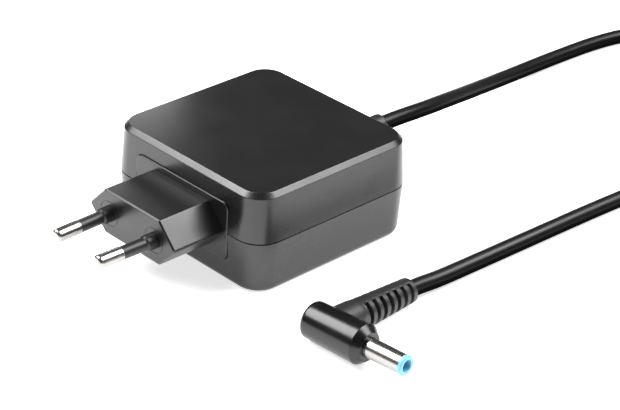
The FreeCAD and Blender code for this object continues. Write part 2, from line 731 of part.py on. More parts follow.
def make_grommet():
    """Grommet moulded on the cord: flange inside, neck in the wall, round collar outside."""
    lip_face = "Dims.case_half_y - Dims.wall - Dims.lip_gap - Dims.lip_wall"
    neck_start = f"({lip_face} - Dims.grommet_back)"
    neck_end = "(Dims.case_half_y + 0.4 - Dims.grommet_back)"
    tip = "(Dims.grommet_tip - Dims.grommet_back)"
    body, solid = turned("cord_grommet", [
        ("0", "0"),
        ("Dims.grommet_flange", "0"),
        ("Dims.grommet_flange", f"{neck_start} - 0.05"),
        ("Dims.grommet_neck - 0.05", f"{neck_start} - 0.05"),
        ("Dims.grommet_neck - 0.05", neck_end),
        ("Dims.grommet_radius + 0.15", f"{neck_end} + 0.6"),
        ("Dims.grommet_radius", tip),
        ("0", tip),
    ])
    dress(body, "cord_grommet_round", "Chamfer", solid,
          edge_at_z(dim("grommet_tip") - dim("grommet_back")), "Dims.grommet_round / 2")
    body.Placement = Placement(Vector(), Rotation(Vector(1, 0, 0), -90))
    place(body, "0", "Dims.grommet_back", "Dims.grommet_z")
    return keep(body, "cord_grommet")


# ---------------------------------------------------------------- low-voltage plug

def dc_placement():
    """The plug as it lies: X along its body towards the mouth, Y along its arm."""
    turn = Rotation(Vector(0, 0, 1), dim("dc_yaw"))
    turn = turn * Rotation(Vector(0, 1, 0), -dim("dc_pitch"))
    turn = turn * Rotation(Vector(1, 0, 0), -dim("dc_roll"))
    return Placement(Vector(dim("dc_x"), dim("dc_y"), dim("dc_z")), turn)


BODY_AXIS = Rotation(Vector(0, 1, 0), 90)      # turns a piece's Z onto the plug body's axis
ARM_AXIS = Rotation(Vector(1, 0, 0), -90)      # turns a piece's Z onto the arm's axis


def set_on_dc(thing, start, axis=BODY_AXIS):
    """Put a turned piece on the plug body's or the arm's axis, from `start` mm along it."""
    along = Placement(axis.multVec(Vector(0, 0, start)), axis)
    thing.Placement = dc_placement().multiply(along)
    return thing


def make_dc_body():
    """Round body, open at the front for the barrel and rounded at the back."""
    length = "(Dims.dc_back + Dims.dc_front)"
    seat = "(Dims.dc_back + Dims.barrel_root)"
    body, solid = turned("dc_plug_body", [
        ("0", "0"),
        ("Dims.dc_back_radius", "0"),
        ("Dims.dc_front_radius", f"{length} - Dims.dc_front_bevel"),
        ("Dims.dc_face_radius", length),
        ("Dims.neck_radius", length),
        ("Dims.neck_radius", seat),
        ("0", seat),
    ])
    dress(body, "dc_plug_body_round", "Fillet", solid,
          edge_at_z(0.0, dim("dc_back_radius") - 0.1), "Dims.dc_round")
    set_on_dc(body, -dim("dc_back"))
    return keep(body, "dc_plug_body")


def make_strain_relief():
    """Ribbed arm moulded on the cord; its grooves stop short of a spine above and below."""
    groove_end = f"(Dims.rib_start + {RIB_GROOVES} * Dims.rib_pitch)"
    body, solid = turned("arm_blank", [
        ("0", "2"),
        ("Dims.arm_root_radius", "2"),
        ("Dims.arm_waist_radius", "Dims.rib_start - 2"),
        ("Dims.arm_rib_radius", "Dims.rib_start - 0.5"),
        ("Dims.arm_end_radius", groove_end),
        ("Dims.arm_end_radius", "Dims.arm_length - 0.5"),
        ("Dims.arm_end_radius - 0.5", "Dims.arm_length"),
        ("0", "Dims.arm_length"),
    ])
    grooves = new_sketch(body, "arm_groove_outlines", "XZ_Plane")
    for number in range(RIB_GROOVES):
        low = f"Dims.rib_start + {number} * Dims.rib_pitch"
        high = f"{low} + Dims.rib_gap"
        for sign in ("", "-"):
            inner = f"{sign}Dims.arm_floor_radius"
            outer = f"{sign}(Dims.arm_rib_radius + 1)"
            outline(grooves, [(inner, low), (outer, low), (outer, high), (inner, high)])
    doc.recompute()
    before = body.Shape.Volume
    ribs = body.newObject("PartDesign::Groove", "arm_grooves")
    ribs.Profile = grooves
    ribs.ReferenceAxis = (grooves, ["V_Axis"])
    ribs.Midplane = True
    ribs.setExpression("Angle", "Dims.rib_spread")
    doc.recompute()
    print(f"arm grooves take away {before - body.Shape.Volume:.0f} cubic mm")
    set_on_dc(body, 0, ARM_AXIS)
    envelope = doc.addObject("Part::Cone", "arm_envelope")
    bind(envelope, Radius1="Dims.dc_back_radius", Radius2="Dims.dc_front_radius",
         Height="Dims.dc_back + Dims.dc_front - Dims.dc_front_bevel")
    set_on_dc(envelope, -dim("dc_back"))
    return keep(cut("arm_trimmed", body, envelope), "dc_strain_relief")


def make_dc_contacts():
    """Barrel, blue insulator at its mouth, inner contact and centre pin, one inside the next."""
    barrel_inner = "Dims.barrel_radius - Dims.barrel_wall"
    neck_inner = "Dims.neck_radius - Dims.barrel_wall"
    shoulder = "Dims.dc_front - Dims.barrel_root"
    liner_outer = "Dims.bore_radius + Dims.liner_wall"
    root = dim("barrel_root")
    barrel_end = "Dims.barrel_tip - Dims.ring_length - Dims.barrel_root"
    mouth = "Dims.barrel_tip - Dims.barrel_root"
    liner_end = f"{mouth} - Dims.mouth_lip"
    floor = "Dims.barrel_tip - Dims.bore_depth - Dims.barrel_root"
    foot = f"{floor} - Dims.centre_pin_foot_length"
    pieces = {
        "dc_barrel": [
            (neck_inner, "0"),
            ("Dims.neck_radius", "0"),
            ("Dims.neck_radius", shoulder),
            ("Dims.barrel_radius", shoulder),
            ("Dims.barrel_radius", barrel_end),
            (barrel_inner, barrel_end),
            (barrel_inner, f"{shoulder} + Dims.barrel_wall"),
            (neck_inner, f"{shoulder} + Dims.barrel_wall"),
        ],
        "dc_tip_ring": [
            ("0", "0"),
            (neck_inner, "0"),
            (neck_inner, f"{shoulder} + Dims.barrel_wall"),
            (barrel_inner, f"{shoulder} + Dims.barrel_wall"),
            (barrel_inner, barrel_end),
            ("Dims.barrel_radius", barrel_end),
            ("Dims.barrel_radius", f"{mouth} - Dims.mouth_round"),
            ("Dims.barrel_radius - Dims.mouth_round", mouth),
            ("Dims.bore_radius", mouth),
            ("Dims.bore_radius", liner_end),
            (liner_outer, liner_end),
            (liner_outer, floor),
            ("Dims.centre_pin_foot", floor),
            ("Dims.centre_pin_foot", foot),
            ("0", foot),
        ],
        "dc_inner_sleeve": [
            ("Dims.bore_radius", floor),
            (liner_outer, floor),
            (liner_outer, liner_end),
            ("Dims.bore_radius", liner_end),
        ],
        "dc_centre_pin": [
            ("0", foot),
            ("Dims.centre_pin_foot", foot),
            ("Dims.centre_pin_foot", floor),
            ("Dims.centre_pin_radius", floor),
            ("Dims.centre_pin_radius", f"{mouth} - Dims.centre_pin_set"),
            ("0", f"{mouth} - Dims.centre_pin_set"),
        ],
    }
    for label, profile in pieces.items():
        body, _ = turned(label, profile)
        set_on_dc(body, root)
        keep(body, label)


# ---------------------------------------------------------------- circuit board

def standing(label, length, width, height, x, y):
    """A boxy component that stands on the board, centred on (x, y)."""
    thing = block(label, str(length), str(width), str(height), str(x - length / 2),
                  str(y - width / 2), "Dims.board_top")
    return keep(thing, label)


def can(label, radius, height, x, y):
    """A round component that stands on the board."""
    thing = cylinder(label, str(radius), str(height), str(x), str(y), "Dims.board_top")
    return keep(thing, label)


def disc(label, radius, thickness, x, y):
    """A disc component that stands on its edge, facing along Y."""
    thing = cylinder(label, str(radius), str(thickness), str(x), str(y + thickness / 2),
                     f"Dims.board_top + {radius}", Rotation(Vector(1, 0, 0), 90))
    return keep(thing, label)


def make_board():
    thing = block("main_pcb", "2 * Dims.board_half_x", "2 * Dims.board_half_y",
                  "Dims.board_wall", "-Dims.board_half_x", "-Dims.board_half_y", "Dims.board_z")
    keep(thing, "main_pcb")
    chip = block("controller_chip", "5", "4", "1.5", "-14", "-6", "Dims.board_z - 1.5")
    keep(chip, "controller_chip")


def make_transformer():
    """E cores round a bobbin with its winding, standing on the board."""
    x, y, z = "Dims.core_x", "Dims.core_y", "Dims.board_top"
    limb = "Dims.core_yoke"
    clear = 0.05
    core = block("core_block", "2 * Dims.core_half_x", "2 * Dims.core_half_y",
                 "Dims.core_height", f"{x} - Dims.core_half_x", f"{y} - Dims.core_half_y", z)
    windows = []
    for side, start in (("left", "-Dims.core_window"), ("right", "Dims.core_leg")):
        windows.append(block(f"core_window_{side}", "Dims.core_window - Dims.core_leg",
                             "2 * Dims.core_half_y + 2", "Dims.core_height - 2 * Dims.core_yoke",
                             f"{x} + {start}", f"{y} - Dims.core_half_y - 1", f"{z} + {limb}"))
    keep(cut("core_cut", core, fuse("core_windows", *windows)), "transformer_core")

    def around_leg(name, reach, low, high):
        """A square ring round the middle limb, `reach` beyond it."""
        wide = f"2 * (Dims.core_leg + {reach})"
        deep = f"2 * (Dims.core_half_y + {reach})"
        return block(name, wide, deep, f"{high} - ({low})", f"{x} - Dims.core_leg - {reach}",
                     f"{y} - Dims.core_half_y - {reach}", f"{z} + {low}")

    bottom = f"{limb} + {clear}"
    top = f"Dims.core_height - {limb} - {clear}"
    leg = around_leg("bobbin_hole", clear, "0", "Dims.core_height")
    tube_ = around_leg("bobbin_tube", "0.9", bottom, top)
    lower = around_leg("bobbin_lower", "4.6", bottom, f"{bottom} + 0.9")
    upper = around_leg("bobbin_upper", "4.6", f"{top} - 0.9", top)
    bobbin = cut("bobbin_cut", fuse("bobbin_blank", tube_, lower, upper), leg)
    keep(bobbin, "transformer_bobbin")
    wound = around_leg("winding_block", "4.2", f"{bottom} + 0.95", f"{top} - 0.95")
    hole = around_leg("winding_hole", "0.95", bottom, top)
    keep(cut("winding_cut", wound, hole), "transformer_winding")


def make_line_choke():
    """A ring core on the board with two windings."""
    x, y = "18.2", "-15.7"
    z = "Dims.board_top + Dims.choke_wound"

    def ring(name, radius):
        thing = doc.addObject("Part::Torus", name)
        bind(thing, Radius1="Dims.choke_ring", Radius2=radius)
        return place(thing, x, y, z)

    keep(ring("choke_core", "Dims.choke_core"), "line_choke_core")
    windings = []
    for number, angle in enumerate((25, 205)):
        sector = ring(f"choke_winding_{number}", "Dims.choke_wound")
        sector.Placement = Placement(sector.Placement.Base, Rotation(Vector(0, 0, 1), angle))
        sector.Angle3 = 130
        windings.append(cut(f"choke_winding_cut_{number}", sector,
                            ring(f"choke_bore_{number}", "Dims.choke_core + 0.02")))
    keep(fuse("choke_windings", *windings), "line_choke_winding")


def make_power_device(device, sink, x, y, sink_width):
    """A flat package with a hole in its tab, against a heatsink plate."""
    package = block(f"{device}_package", "Dims.device_width", "Dims.device_depth",
                    "Dims.device_height", str(x - dim("device_width") / 2), str(y),
                    "Dims.board_top")
    hole = cylinder(f"{device}_hole", "Dims.tab_hole", "Dims.device_depth + 2", str(x),
                    str(y + dim("device_depth") + 1), "Dims.board_top + Dims.tab_hole_up",
                    Rotation(Vector(1, 0, 0), 90))
    keep(cut(f"{device}_cut", package, hole), device)
    plate = block(f"{sink}_plate", str(sink_width), "Dims.sink_wall", "Dims.sink_height",
                  str(x - 6.2), f"{y} + Dims.device_depth", "Dims.board_top")
    keep(plate, sink)


def make_components():
    can("fuse", 4.0, 7.5, -20.5, -18.5)
    disc("varistor", 5.0, 3.8, -20.5, -9.5)
    standing("x_capacitor", 13.0, 5.5, 11.0, -2.5, -14.5)
    standing("bridge_rectifier", 11.0, 3.4, 10.0, -19.5, -3.0)
    lying = cylinder("bulk_capacitor", "7", "19", "18.8", "-8.5", "Dims.board_top + 7",
                     Rotation(Vector(1, 0, 0), -90))
    keep(lying, "bulk_capacitor")
    disc("y_capacitor", 4.0, 3.5, -8.2, 13.4)
    standing("optocoupler", 6.5, 4.6, 3.5, -20.0, 16.0)
    for number, x in enumerate((8.6, -9.0), start=1):
        can(f"output_capacitor_{number}", 3.9, 13.0, x, 20.0)
    can("output_choke", 3.4, 8.0, -0.5, 15.2)
    make_board()
    make_transformer()
    make_line_choke()
    make_power_device("switching_transistor", "primary_heatsink", -19.5, 4.0, 12.5)
    make_power_device("output_rectifier", "secondary_heatsink", 19.6, 16.5, 13.6)


def make_leads():
    """Insulated wires from the pins to the board and from the board to the cord."""
    radius = dim("wire_radius")
    board = dim("board_top")
    pin_back = dim("plug_front") - dim("pin_inside")
    for side, word in ((-1, "live"), (1, "neutral")):
        inner = dim("pin_spread") + 0.70
        route = [
            Vector(side * inner, -pin_back, dim("plug_z")),
            Vector(side * inner, -pin_back + 2.2, dim("plug_z")),
            Vector(side * (inner + 0.1), -pin_back + 2.6, dim("plug_z") - 2.6),
            Vector(side * (inner + 0.1), -pin_back + 2.5, board),
        ]
        print(f"mains_lead_{word}")
        solid, length = tube(route, radius)
        feature(f"mains_lead_{word}", solid, f"mains_lead_{word}")
    for x, word in ((-2.0, "signal"), (0.0, "positive"), (2.0, "negative")):
        start = dim("grommet_back")
        route = [
            Vector(x, start, dim("grommet_z")),
            Vector(x, start - 2.0, dim("grommet_z")),
            Vector(x * 1.02, start - 2.5, dim("grommet_z") - 2.5),
            Vector(x * 1.02, start - 2.4, board),
        ]
        print(f"output_lead_{word}")
        solid, length = tube(route, radius)
        feature(f"output_lead_{word}", solid, f"output_lead_{word}")


# ---------------------------------------------------------------- build, check, write

def check_document():
    """Stop on any failed object or bad shape."""
    doc.recompute()
    for thing in doc.Objects:
        if "Invalid" in thing.State or "Error" in thing.State:
            raise RuntimeError(f"{thing.Name} failed: {thing.State}")
    for part in parts:
        shape = part.Shape
        if shape.isNull() or not shape.isValid():
            raise RuntimeError(f"{part.Label} has a bad shape")
        if not shape.Solids:
            raise RuntimeError(f"{part.Label} has no solid")


def write_parts():
    os.makedirs("parts", exist_ok=True)
    for part in parts:
        part.Shape.exportStep(f"parts/{part.Label}.step")
        box = part.Shape.BoundBox
        print(f"{part.Label:24s} solids {len(part.Shape.Solids)}  volume {part.Shape.Volume:9.1f}"
              f"  x {box.XMin:7.2f} {box.XMax:7.2f}  y {box.YMin:7.2f} {box.YMax:7.2f}"
              f"  z {box.ZMin:6.2f} {box.ZMax:6.2f}")


make_top_cover()
make_bottom_cover()
make_plug_housing()
for pin_side, pin_word in ((-1, "left"), (1, "right")):
    make_pin(pin_side, pin_word)
    make_pin_sleeve(pin_side, pin_word)
make_grommet()
make_components()
make_leads()
make_dc_body()
make_strain_relief()
make_dc_contacts()
make_cord()
check_document()
write_parts()
print(f"{len(parts)} sub-parts written")
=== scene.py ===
# %% [markdown]
# # A laptop power adapter, one piece at a time
#
# The engineering model gives the frame: where each piece is and how large. This script gives
# the looks. It makes the pieces that show as clean meshes with soft edges, lays the cord as one
# smooth curve, and gives every surface a material that is worked out from the real finish.
# Lengths are written in millimetres and turned into metres where a mesh is made.

# %% Load the frame
import json
import math

import bmesh
import bpy
from mathutils import Matrix, Vector


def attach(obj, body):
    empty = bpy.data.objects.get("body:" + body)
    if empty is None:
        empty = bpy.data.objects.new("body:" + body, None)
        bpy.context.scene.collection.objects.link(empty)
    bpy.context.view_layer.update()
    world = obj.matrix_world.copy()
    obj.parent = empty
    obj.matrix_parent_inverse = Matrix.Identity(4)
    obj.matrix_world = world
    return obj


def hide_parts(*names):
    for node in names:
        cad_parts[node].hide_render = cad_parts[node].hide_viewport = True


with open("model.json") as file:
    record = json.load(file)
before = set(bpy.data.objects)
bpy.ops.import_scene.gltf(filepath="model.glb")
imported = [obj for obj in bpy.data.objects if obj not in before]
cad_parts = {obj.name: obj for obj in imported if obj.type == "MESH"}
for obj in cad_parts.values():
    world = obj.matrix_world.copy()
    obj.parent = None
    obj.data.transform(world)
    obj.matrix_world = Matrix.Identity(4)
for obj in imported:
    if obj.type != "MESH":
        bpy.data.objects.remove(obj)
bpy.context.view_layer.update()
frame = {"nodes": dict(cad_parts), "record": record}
MM = 0.001

# %% [markdown]
# ## The camera
#
# A long lens from the front right, a third of the way up. The camera is placed by what it looks
# at: a target on the casing, a direction round and above it, and a slight roll. Its axes are
# worked out from those, so no tracking constraint is needed.

# %% Camera
CAMERA_TARGET = Vector((-3.0, 22.8, -4.3)) * MM
CAMERA_AZIMUTH = math.radians(44.91)
CAMERA_ELEVATION = math.radians(29.44)
CAMERA_ROLL = math.radians(2.78)
CAMERA_DISTANCE = 611.7 * MM
CAMERA_LENS = 120.5


def place_camera():
    """Build the camera's axes from its direction and roll, and stand it off the target."""
    level = math.cos(CAMERA_ELEVATION)
    back = Vector((math.sin(CAMERA_AZIMUTH) * level, -math.cos(CAMERA_AZIMUTH) * level,
                   math.sin(CAMERA_ELEVATION)))
    flat_right = Vector((0, 0, 1)).cross(back).normalized()
    flat_up = back.cross(flat_right)
    right = math.cos(CAMERA_ROLL) * flat_right + math.sin(CAMERA_ROLL) * flat_up
    up = math.cos(CAMERA_ROLL) * flat_up - math.sin(CAMERA_ROLL) * flat_right
    turn = Matrix((right, up, back)).transposed()
    camera = bpy.data.objects.new("camera", bpy.data.cameras.new("camera"))
    camera.matrix_world = Matrix.LocRotScale(CAMERA_TARGET + back * CAMERA_DISTANCE, turn, None)
    camera.data.lens = CAMERA_LENS
    camera.data.sensor_width = 36.0
    camera.data.clip_start = 0.01
    bpy.context.scene.collection.objects.link(camera)
    bpy.context.scene.camera = camera
    return camera


camera = place_camera()
print("camera at", [round(value / MM) for value in camera.location], "mm")

# %% [markdown]
# ## Small helpers
#
# Colours are picked as sRGB hex values, as a paint chip is, and the shader needs linear light,
# so one function turns one into the other. Another adds a shader or geometry node with its
# settings and links in one call, which keeps the trees readable.

# %% Colour and node helpers


def linear(hex_colour):
    """An sRGB hex colour as linear red, green, blue and alpha."""
    channels = [int(hex_colour[start:start + 2], 16) / 255 for start in (1, 3, 5)]
    curve = [value / 12.92 if value <= 0.04045 else ((value + 0.055) / 1.055) ** 2.4
             for value in channels]
    return (*curve, 1.0)


def add_node(tree, kind, inputs=None, **settings):
    """Add a node, set its properties, and set or link its inputs by name or number."""
    node = tree.nodes.new(kind)
    for name, value in settings.items():
        setattr(node, name, value)
    for name, value in (inputs or {}).items():
        if isinstance(value, bpy.types.NodeSocket):
            tree.links.new(value, node.inputs[name])
        else:
            node.inputs[name].default_value = value
    return node


# %% [markdown]
# Most pieces here are mouldings and turned parts, and both are cross-sections with their
# corners rounded. A section is written as its few corners, and `rounded` puts an arc at each. It
# also leaves a point on the flat just before and after each arc. Without it the smoothing would
# spread the arc's shading over the whole flat face.

# %% Rounded sections
ARC_STEPS = 6
CORNER_SHARE = 0.46  # of the shorter side, at most, for one corner
HOLD_SHARE = 0.3
HOLD_LEAST = 0.02
HOLD_ROOM = 1.08


def corner_arc(before, corner, after, radius, steps=ARC_STEPS):
    """The points of one rounded corner, with a holding point on either side."""
    before, corner, after = Vector(before), Vector(corner), Vector(after)
    back, ahead = before - corner, after - corner
    room = CORNER_SHARE * min(back.length, ahead.length)
    back.normalize()
    ahead.normalize()
    half = back.angle(ahead) / 2
    reach = min(radius / math.tan(half), room)
    hold = min(HOLD_SHARE * reach + HOLD_LEAST, room * HOLD_ROOM - reach + HOLD_LEAST / 2)
    radius = reach * math.tan(half)
    centre = corner + (back + ahead).normalized() * (radius / math.sin(half))
    start = corner + back * reach - centre
    sweep = math.pi - 2 * half
    if back.cross(ahead) > 0:
        sweep = -sweep
    points = [corner + back * (reach + hold)]
    for step in range(steps + 1):
        turn = sweep * step / steps
        points.append(centre + Matrix.Rotation(turn, 2) @ start)
    points.append(corner + ahead * (reach + hold))
    return points


def rounded(corners, radii):
    """An open section: its ends stay, and each corner between them gets its own radius."""
    points = [Vector(corners[0])]
    for before, corner, after, radius in zip(corners, corners[1:], corners[2:], radii):
        points += corner_arc(before, corner, after, radius) if radius else [Vector(corner)]
    return points + [Vector(corners[-1])]


def rounded_loop(corners, radius, steps=ARC_STEPS):
    """A closed section, its corners given anticlockwise, all rounded alike."""
    points = []
    for number, corner in enumerate(corners):
        after = corners[(number + 1) % len(corners)]
        points += corner_arc(corners[number - 1], corner, after, radius, steps)
    return points


def inset(corners, distance):
    """The same section with every side moved inwards."""
    moved = []
    for number, corner in enumerate(corners):
        corner = Vector(corner)
        along_1 = (corner - Vector(corners[number - 1])).normalized()
        along_2 = (Vector(corners[(number + 1) % len(corners)]) - corner).normalized()
        inward_1 = Vector((-along_1.y, along_1.x))
        inward_2 = Vector((-along_2.y, along_2.x))
        moved.append(corner + (inward_1 + inward_2) * (distance / (1 + inward_1.dot(inward_2))))
    return moved


def rectangle(half_x, half_y):
    """The four corners of a centred rectangle, anticlockwise."""
    return [(half_x, half_y), (-half_x, half_y), (-half_x, -half_y), (half_x, -half_y)]


print(len(rounded_loop(rectangle(2.0, 1.0), 0.5)), "points round a rounded rectangle")

# %% [markdown]
# A mesh is then a stack of sections. `skin` joins them, closes the ends, and turns millimetres
# into metres. Every finished piece stays at the origin with its place in its own mesh, so a
# placement is applied to the mesh and never to the object.

# %% From sections to meshes
SMOOTH_BELOW = math.radians(33)


def skin(name, rings, placement=None, closed=False):
    """A mesh through a stack of sections. Closed means that the last joins the first."""
    build = bmesh.new()
    rows = [[build.verts.new(point) for point in ring] for ring in rings]
    pairs = list(zip(rows, rows[1:]))
    if closed:
        pairs.append((rows[-1], rows[0]))
    else:
        build.faces.new(rows[0])
        build.faces.new(rows[-1])
    for lower, upper in pairs:
        for number in range(len(lower)):
            build.faces.new((lower[number - 1], lower[number], upper[number], upper[number - 1]))
    bmesh.ops.recalc_face_normals(build, faces=build.faces)
    mesh = bpy.data.meshes.new(name)
    build.to_mesh(mesh)
    build.free()
    mesh.transform(Matrix.Scale(MM, 4))
    if placement:
        mesh.transform(placement)
    piece = bpy.data.objects.new(name, mesh)
    bpy.context.scene.collection.objects.link(piece)
    return smooth(piece)


def smooth(piece):
    """Shade a piece smooth, except over its real edges."""
    piece.data.polygons.foreach_set("use_smooth", [True] * len(piece.data.polygons))
    piece.data.set_sharp_from_angle(angle=SMOOTH_BELOW)
    return piece


def turned(name, section, placement=None, segments=64, closed=False):
    """A turned piece: a section of (radius, height) about Z. A closed section makes a ring."""
    angles = [2 * math.pi * number / segments for number in range(segments)]
    rings = [[(max(radius, 0.002) * math.cos(angle), max(radius, 0.002) * math.sin(angle),
               height) for angle in angles] for radius, height in section]
    return skin(name, rings, placement, closed)


def carve(piece, cutter, operation="DIFFERENCE"):
    """Cut one mesh with another, or join them, and drop the second."""
    modifier = piece.modifiers.new("carve", "BOOLEAN")
    modifier.object = cutter
    modifier.operation = operation
    modifier.solver = "EXACT"
    graph = bpy.context.evaluated_depsgraph_get()
    carved = bpy.data.meshes.new_from_object(piece.evaluated_get(graph))
    piece.modifiers.remove(modifier)
    piece.data = carved
    bpy.data.objects.remove(cutter)
    smooth(piece)


def adopt(piece, slot, material, *nodes):
    """Give a piece its material and body, and hide the nodes that it stands for; the slot is not
    used.
    """
    piece.data.materials.clear()
    piece.data.materials.append(material)
    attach(piece, "root")
    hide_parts(*nodes)
    print(f"{piece.name}: {len(getattr(piece.data, 'polygons', []))} faces, {material.name}")


# %% [markdown]
# ## Plastics and rubbers
#
# Every plastic here starts from the same idea: a nearly black pigment, a refractive index near
# 1.5, and a surface that copies the mould it came from. A mould is spark-eroded for a fine matt
# grain, or polished for a gloss. So one function takes the grain's size and depth in
# millimetres, and how much gloss and colour wander over the piece. The wander is slow, as it
# comes from cooling and handling, and it keeps large faces from looking computed.
#
# Two things change with how far up a face looks. The casing's walls have a shallower grain than
# its level top, because they slide along the steel as they leave the mould, so they are a
# little glossier. The cord's jacket loses its sheen where it looks down. That one is a liberty:
# dust dulls a real jacket only a little, but the bright table would draw a pale rim along the
# underside of this one. Real spark-eroded grain is finer than a tenth of a millimetre. It is
# drawn about three times as coarse, so that it still shows at arm's length.

# %% Moulded materials
NOISE_LOW, NOISE_HIGH = 0.3, 0.7  # most values of a noise lie between these
WALL_UP, TOP_UP = 0.9, 0.99
SHEEN_FROM, SHEEN_FULL = 0.0, 0.95
NO_SHEEN_IOR = 1.01


def by_height(tree, from_z, to_z, low, high):
    """A value that changes with how far up a face looks."""
    normal = add_node(tree, "ShaderNodeNewGeometry").outputs["Normal"]
    upward = add_node(tree, "ShaderNodeSeparateXYZ", {"Vector": normal}).outputs["Z"]
    blend = add_node(tree, "ShaderNodeMapRange",
                     {"Value": upward, "From Min": from_z, "From Max": to_z,
                      "To Min": low, "To Max": high})
    return blend.outputs["Result"]


def moulded(name, colour, second_colour, roughness, grain_mm, grain_depth, patch_mm=9.0,
            wander=0.06, ior=1.5, polish=0.0, dull_below=False):
    """A moulded plastic: grain as bump, slow patches in colour and gloss.

    `polish` is how much smoother the walls are than a level top. A surface that is
    `dull_below` has no sheen where it looks down.
    """
    material = bpy.data.materials.new(name)
    material.use_nodes = True
    tree = material.node_tree
    tree.nodes.clear()
    place = add_node(tree, "ShaderNodeTexCoord").outputs["Object"]
    patches = add_node(tree, "ShaderNodeTexNoise",
                       {"Vector": place, "Scale": 1 / (patch_mm * MM), "Detail": 3.0})
    grain = add_node(tree, "ShaderNodeTexNoise",
                     {"Vector": place, "Scale": 1 / (grain_mm * MM), "Detail": 2.0})
    tint = add_node(tree, "ShaderNodeMix",
                    {0: patches.outputs["Fac"], 6: linear(colour), 7: linear(second_colour)},
                    data_type="RGBA")
    gloss = add_node(tree, "ShaderNodeMapRange",
                     {"Value": patches.outputs["Fac"], "From Min": NOISE_LOW,
                      "From Max": NOISE_HIGH, "To Min": roughness - wander / 2,
                      "To Max": roughness + wander / 2})
    bump = add_node(tree, "ShaderNodeBump",
                    {"Distance": grain_depth * MM, "Height": grain.outputs["Fac"]})
    smoother = add_node(tree, "ShaderNodeMath",
                        {0: gloss.outputs["Result"],
                         1: by_height(tree, WALL_UP, TOP_UP, polish, 0.0)},
                        operation="SUBTRACT")
    index = by_height(tree, SHEEN_FROM, SHEEN_FULL, NO_SHEEN_IOR, ior) if dull_below else ior
    shader = add_node(tree, "ShaderNodeBsdfPrincipled",
                      {"Base Color": tint.outputs[2], "Roughness": smoother.outputs["Value"],
                       "IOR": index, "Normal": bump.outputs["Normal"]})
    add_node(tree, "ShaderNodeOutputMaterial", {"Surface": shader.outputs["BSDF"]})
    return material


# The casing is satin: soft edges to its highlights and no mirror image. The mains plug is the
# same plastic with a slightly finer grain. Sleeves and boots are duller, and the low-voltage
# plug's body has the tight highlight of vinyl from a polished mould. The pale blue insulator
# looks slightly waxy.
PLASTICS = {
    "case_abs": moulded("ABS_spark_eroded", "#101011", "#131314", 0.32, 0.3, 0.002, ior=1.58,
                        polish=0.04),
    "plug_abs": moulded("ABS_satin_moulded", "#101011", "#131314", 0.32, 0.25, 0.003, ior=1.58),
    "sleeve_pvc": moulded("PVC_pin_sleeve", "#19191b", "#1e1e20", 0.38, 0.2, 0.004, 4.0),
    "cord_pvc": moulded("PVC_extruded_jacket", "#080809", "#0b0b0c", 0.34, 0.6, 0.003, ior=1.5,
                        dull_below=True),
    "boot_pvc": moulded("PVC_matt_overmould", "#19191a", "#1d1d1e", 0.44, 0.2, 0.004, 5.0,
                        ior=1.58),
    "dc_body_pvc": moulded("PVC_semigloss_overmould", "#080809", "#0b0b0c", 0.24, 0.5, 0.002, 6.0),
    "tip_blue": moulded("PBT_blue_insulator", "#74c0de", "#82c8e2", 0.3, 0.3, 0.002, 2.0),
    # Inside: moulded boxes and dipped discs are dull to glossy, and solder mask is a thin gloss.
    "bobbin_plastic": moulded("Nylon_bobbin", "#23231f", "#2b2a25", 0.4, 0.3, 0.006),
    "film_box": moulded("PBT_film_capacitor_box", "#c9a13a", "#d0aa48", 0.35, 0.3, 0.004),
    "fuse_plastic": moulded("PBT_fuse_cap", "#4a2416", "#55291a", 0.35, 0.3, 0.004),
    "epoxy_black": moulded("Epoxy_transfer_moulded", "#1c1c1d", "#222223", 0.55, 0.12, 0.006, 3.0),
    "disc_blue": moulded("Epoxy_dipped_disc", "#1f4f96", "#2a5ca3", 0.25, 1.5, 0.02, 2.0),
    "can_sleeve": moulded("PET_shrink_sleeve", "#1d2736", "#232e40", 0.22, 2.0, 0.006, 6.0),
    "board_fr4": moulded("Solder_mask_on_FR4", "#1d5a2f", "#236437", 0.3, 0.8, 0.006, 5.0),
    "ferrite": moulded("MnZn_ferrite_sintered", "#2c2c2e", "#3a3a3c", 0.6, 0.25, 0.01, 2.0),
    "winding_tape": moulded("Polyester_winding_tape", "#caa51f", "#d3b02c", 0.3, 1.2, 0.01, 4.0),
    # Insulated wire is extruded, so it is smooth and evenly coloured along its length.
    "wire_brown": moulded("PVC_wire_brown", "#5a3420", "#633a25", 0.35, 0.4, 0.003, 3.0),
    "wire_blue": moulded("PVC_wire_blue", "#21579a", "#2860a4", 0.35, 0.4, 0.003, 3.0),
    "wire_black": moulded("PVC_wire_black", "#18181a", "#1d1d1f", 0.35, 0.4, 0.003, 3.0),
    "wire_red": moulded("PVC_wire_red", "#a3201c", "#ad2823", 0.35, 0.4, 0.003, 3.0),
    "wire_white": moulded("PVC_wire_white", "#d8d7d2", "#dedcd7", 0.35, 0.4, 0.003, 3.0),
}
print(len(PLASTICS), "moulded materials")

# %% [markdown]
# ## Metals and cloth
#
# Plated pins are drawn wire that was tumbled and nickel plated: bright, with faint marks along
# the drawing direction. Sheet heatsinks carry rolling marks. Both are one metal with noise
# stretched along one axis. The winding wire is round and lies side by side, which a wave of
# the wire's own diameter shows. The strap is woven, so its bump is two crossed waves. In both,
# the waves also set the colour: darker in the grooves as painted shade, and lighter on the
# crests as a painted highlight.

# %% Metal, winding and strap materials
BRIGHT_MARK, DULL_MARK = 0.8, 1.25
WAVE_LENGTH = 0.314  # of the wave texture at a scale of one


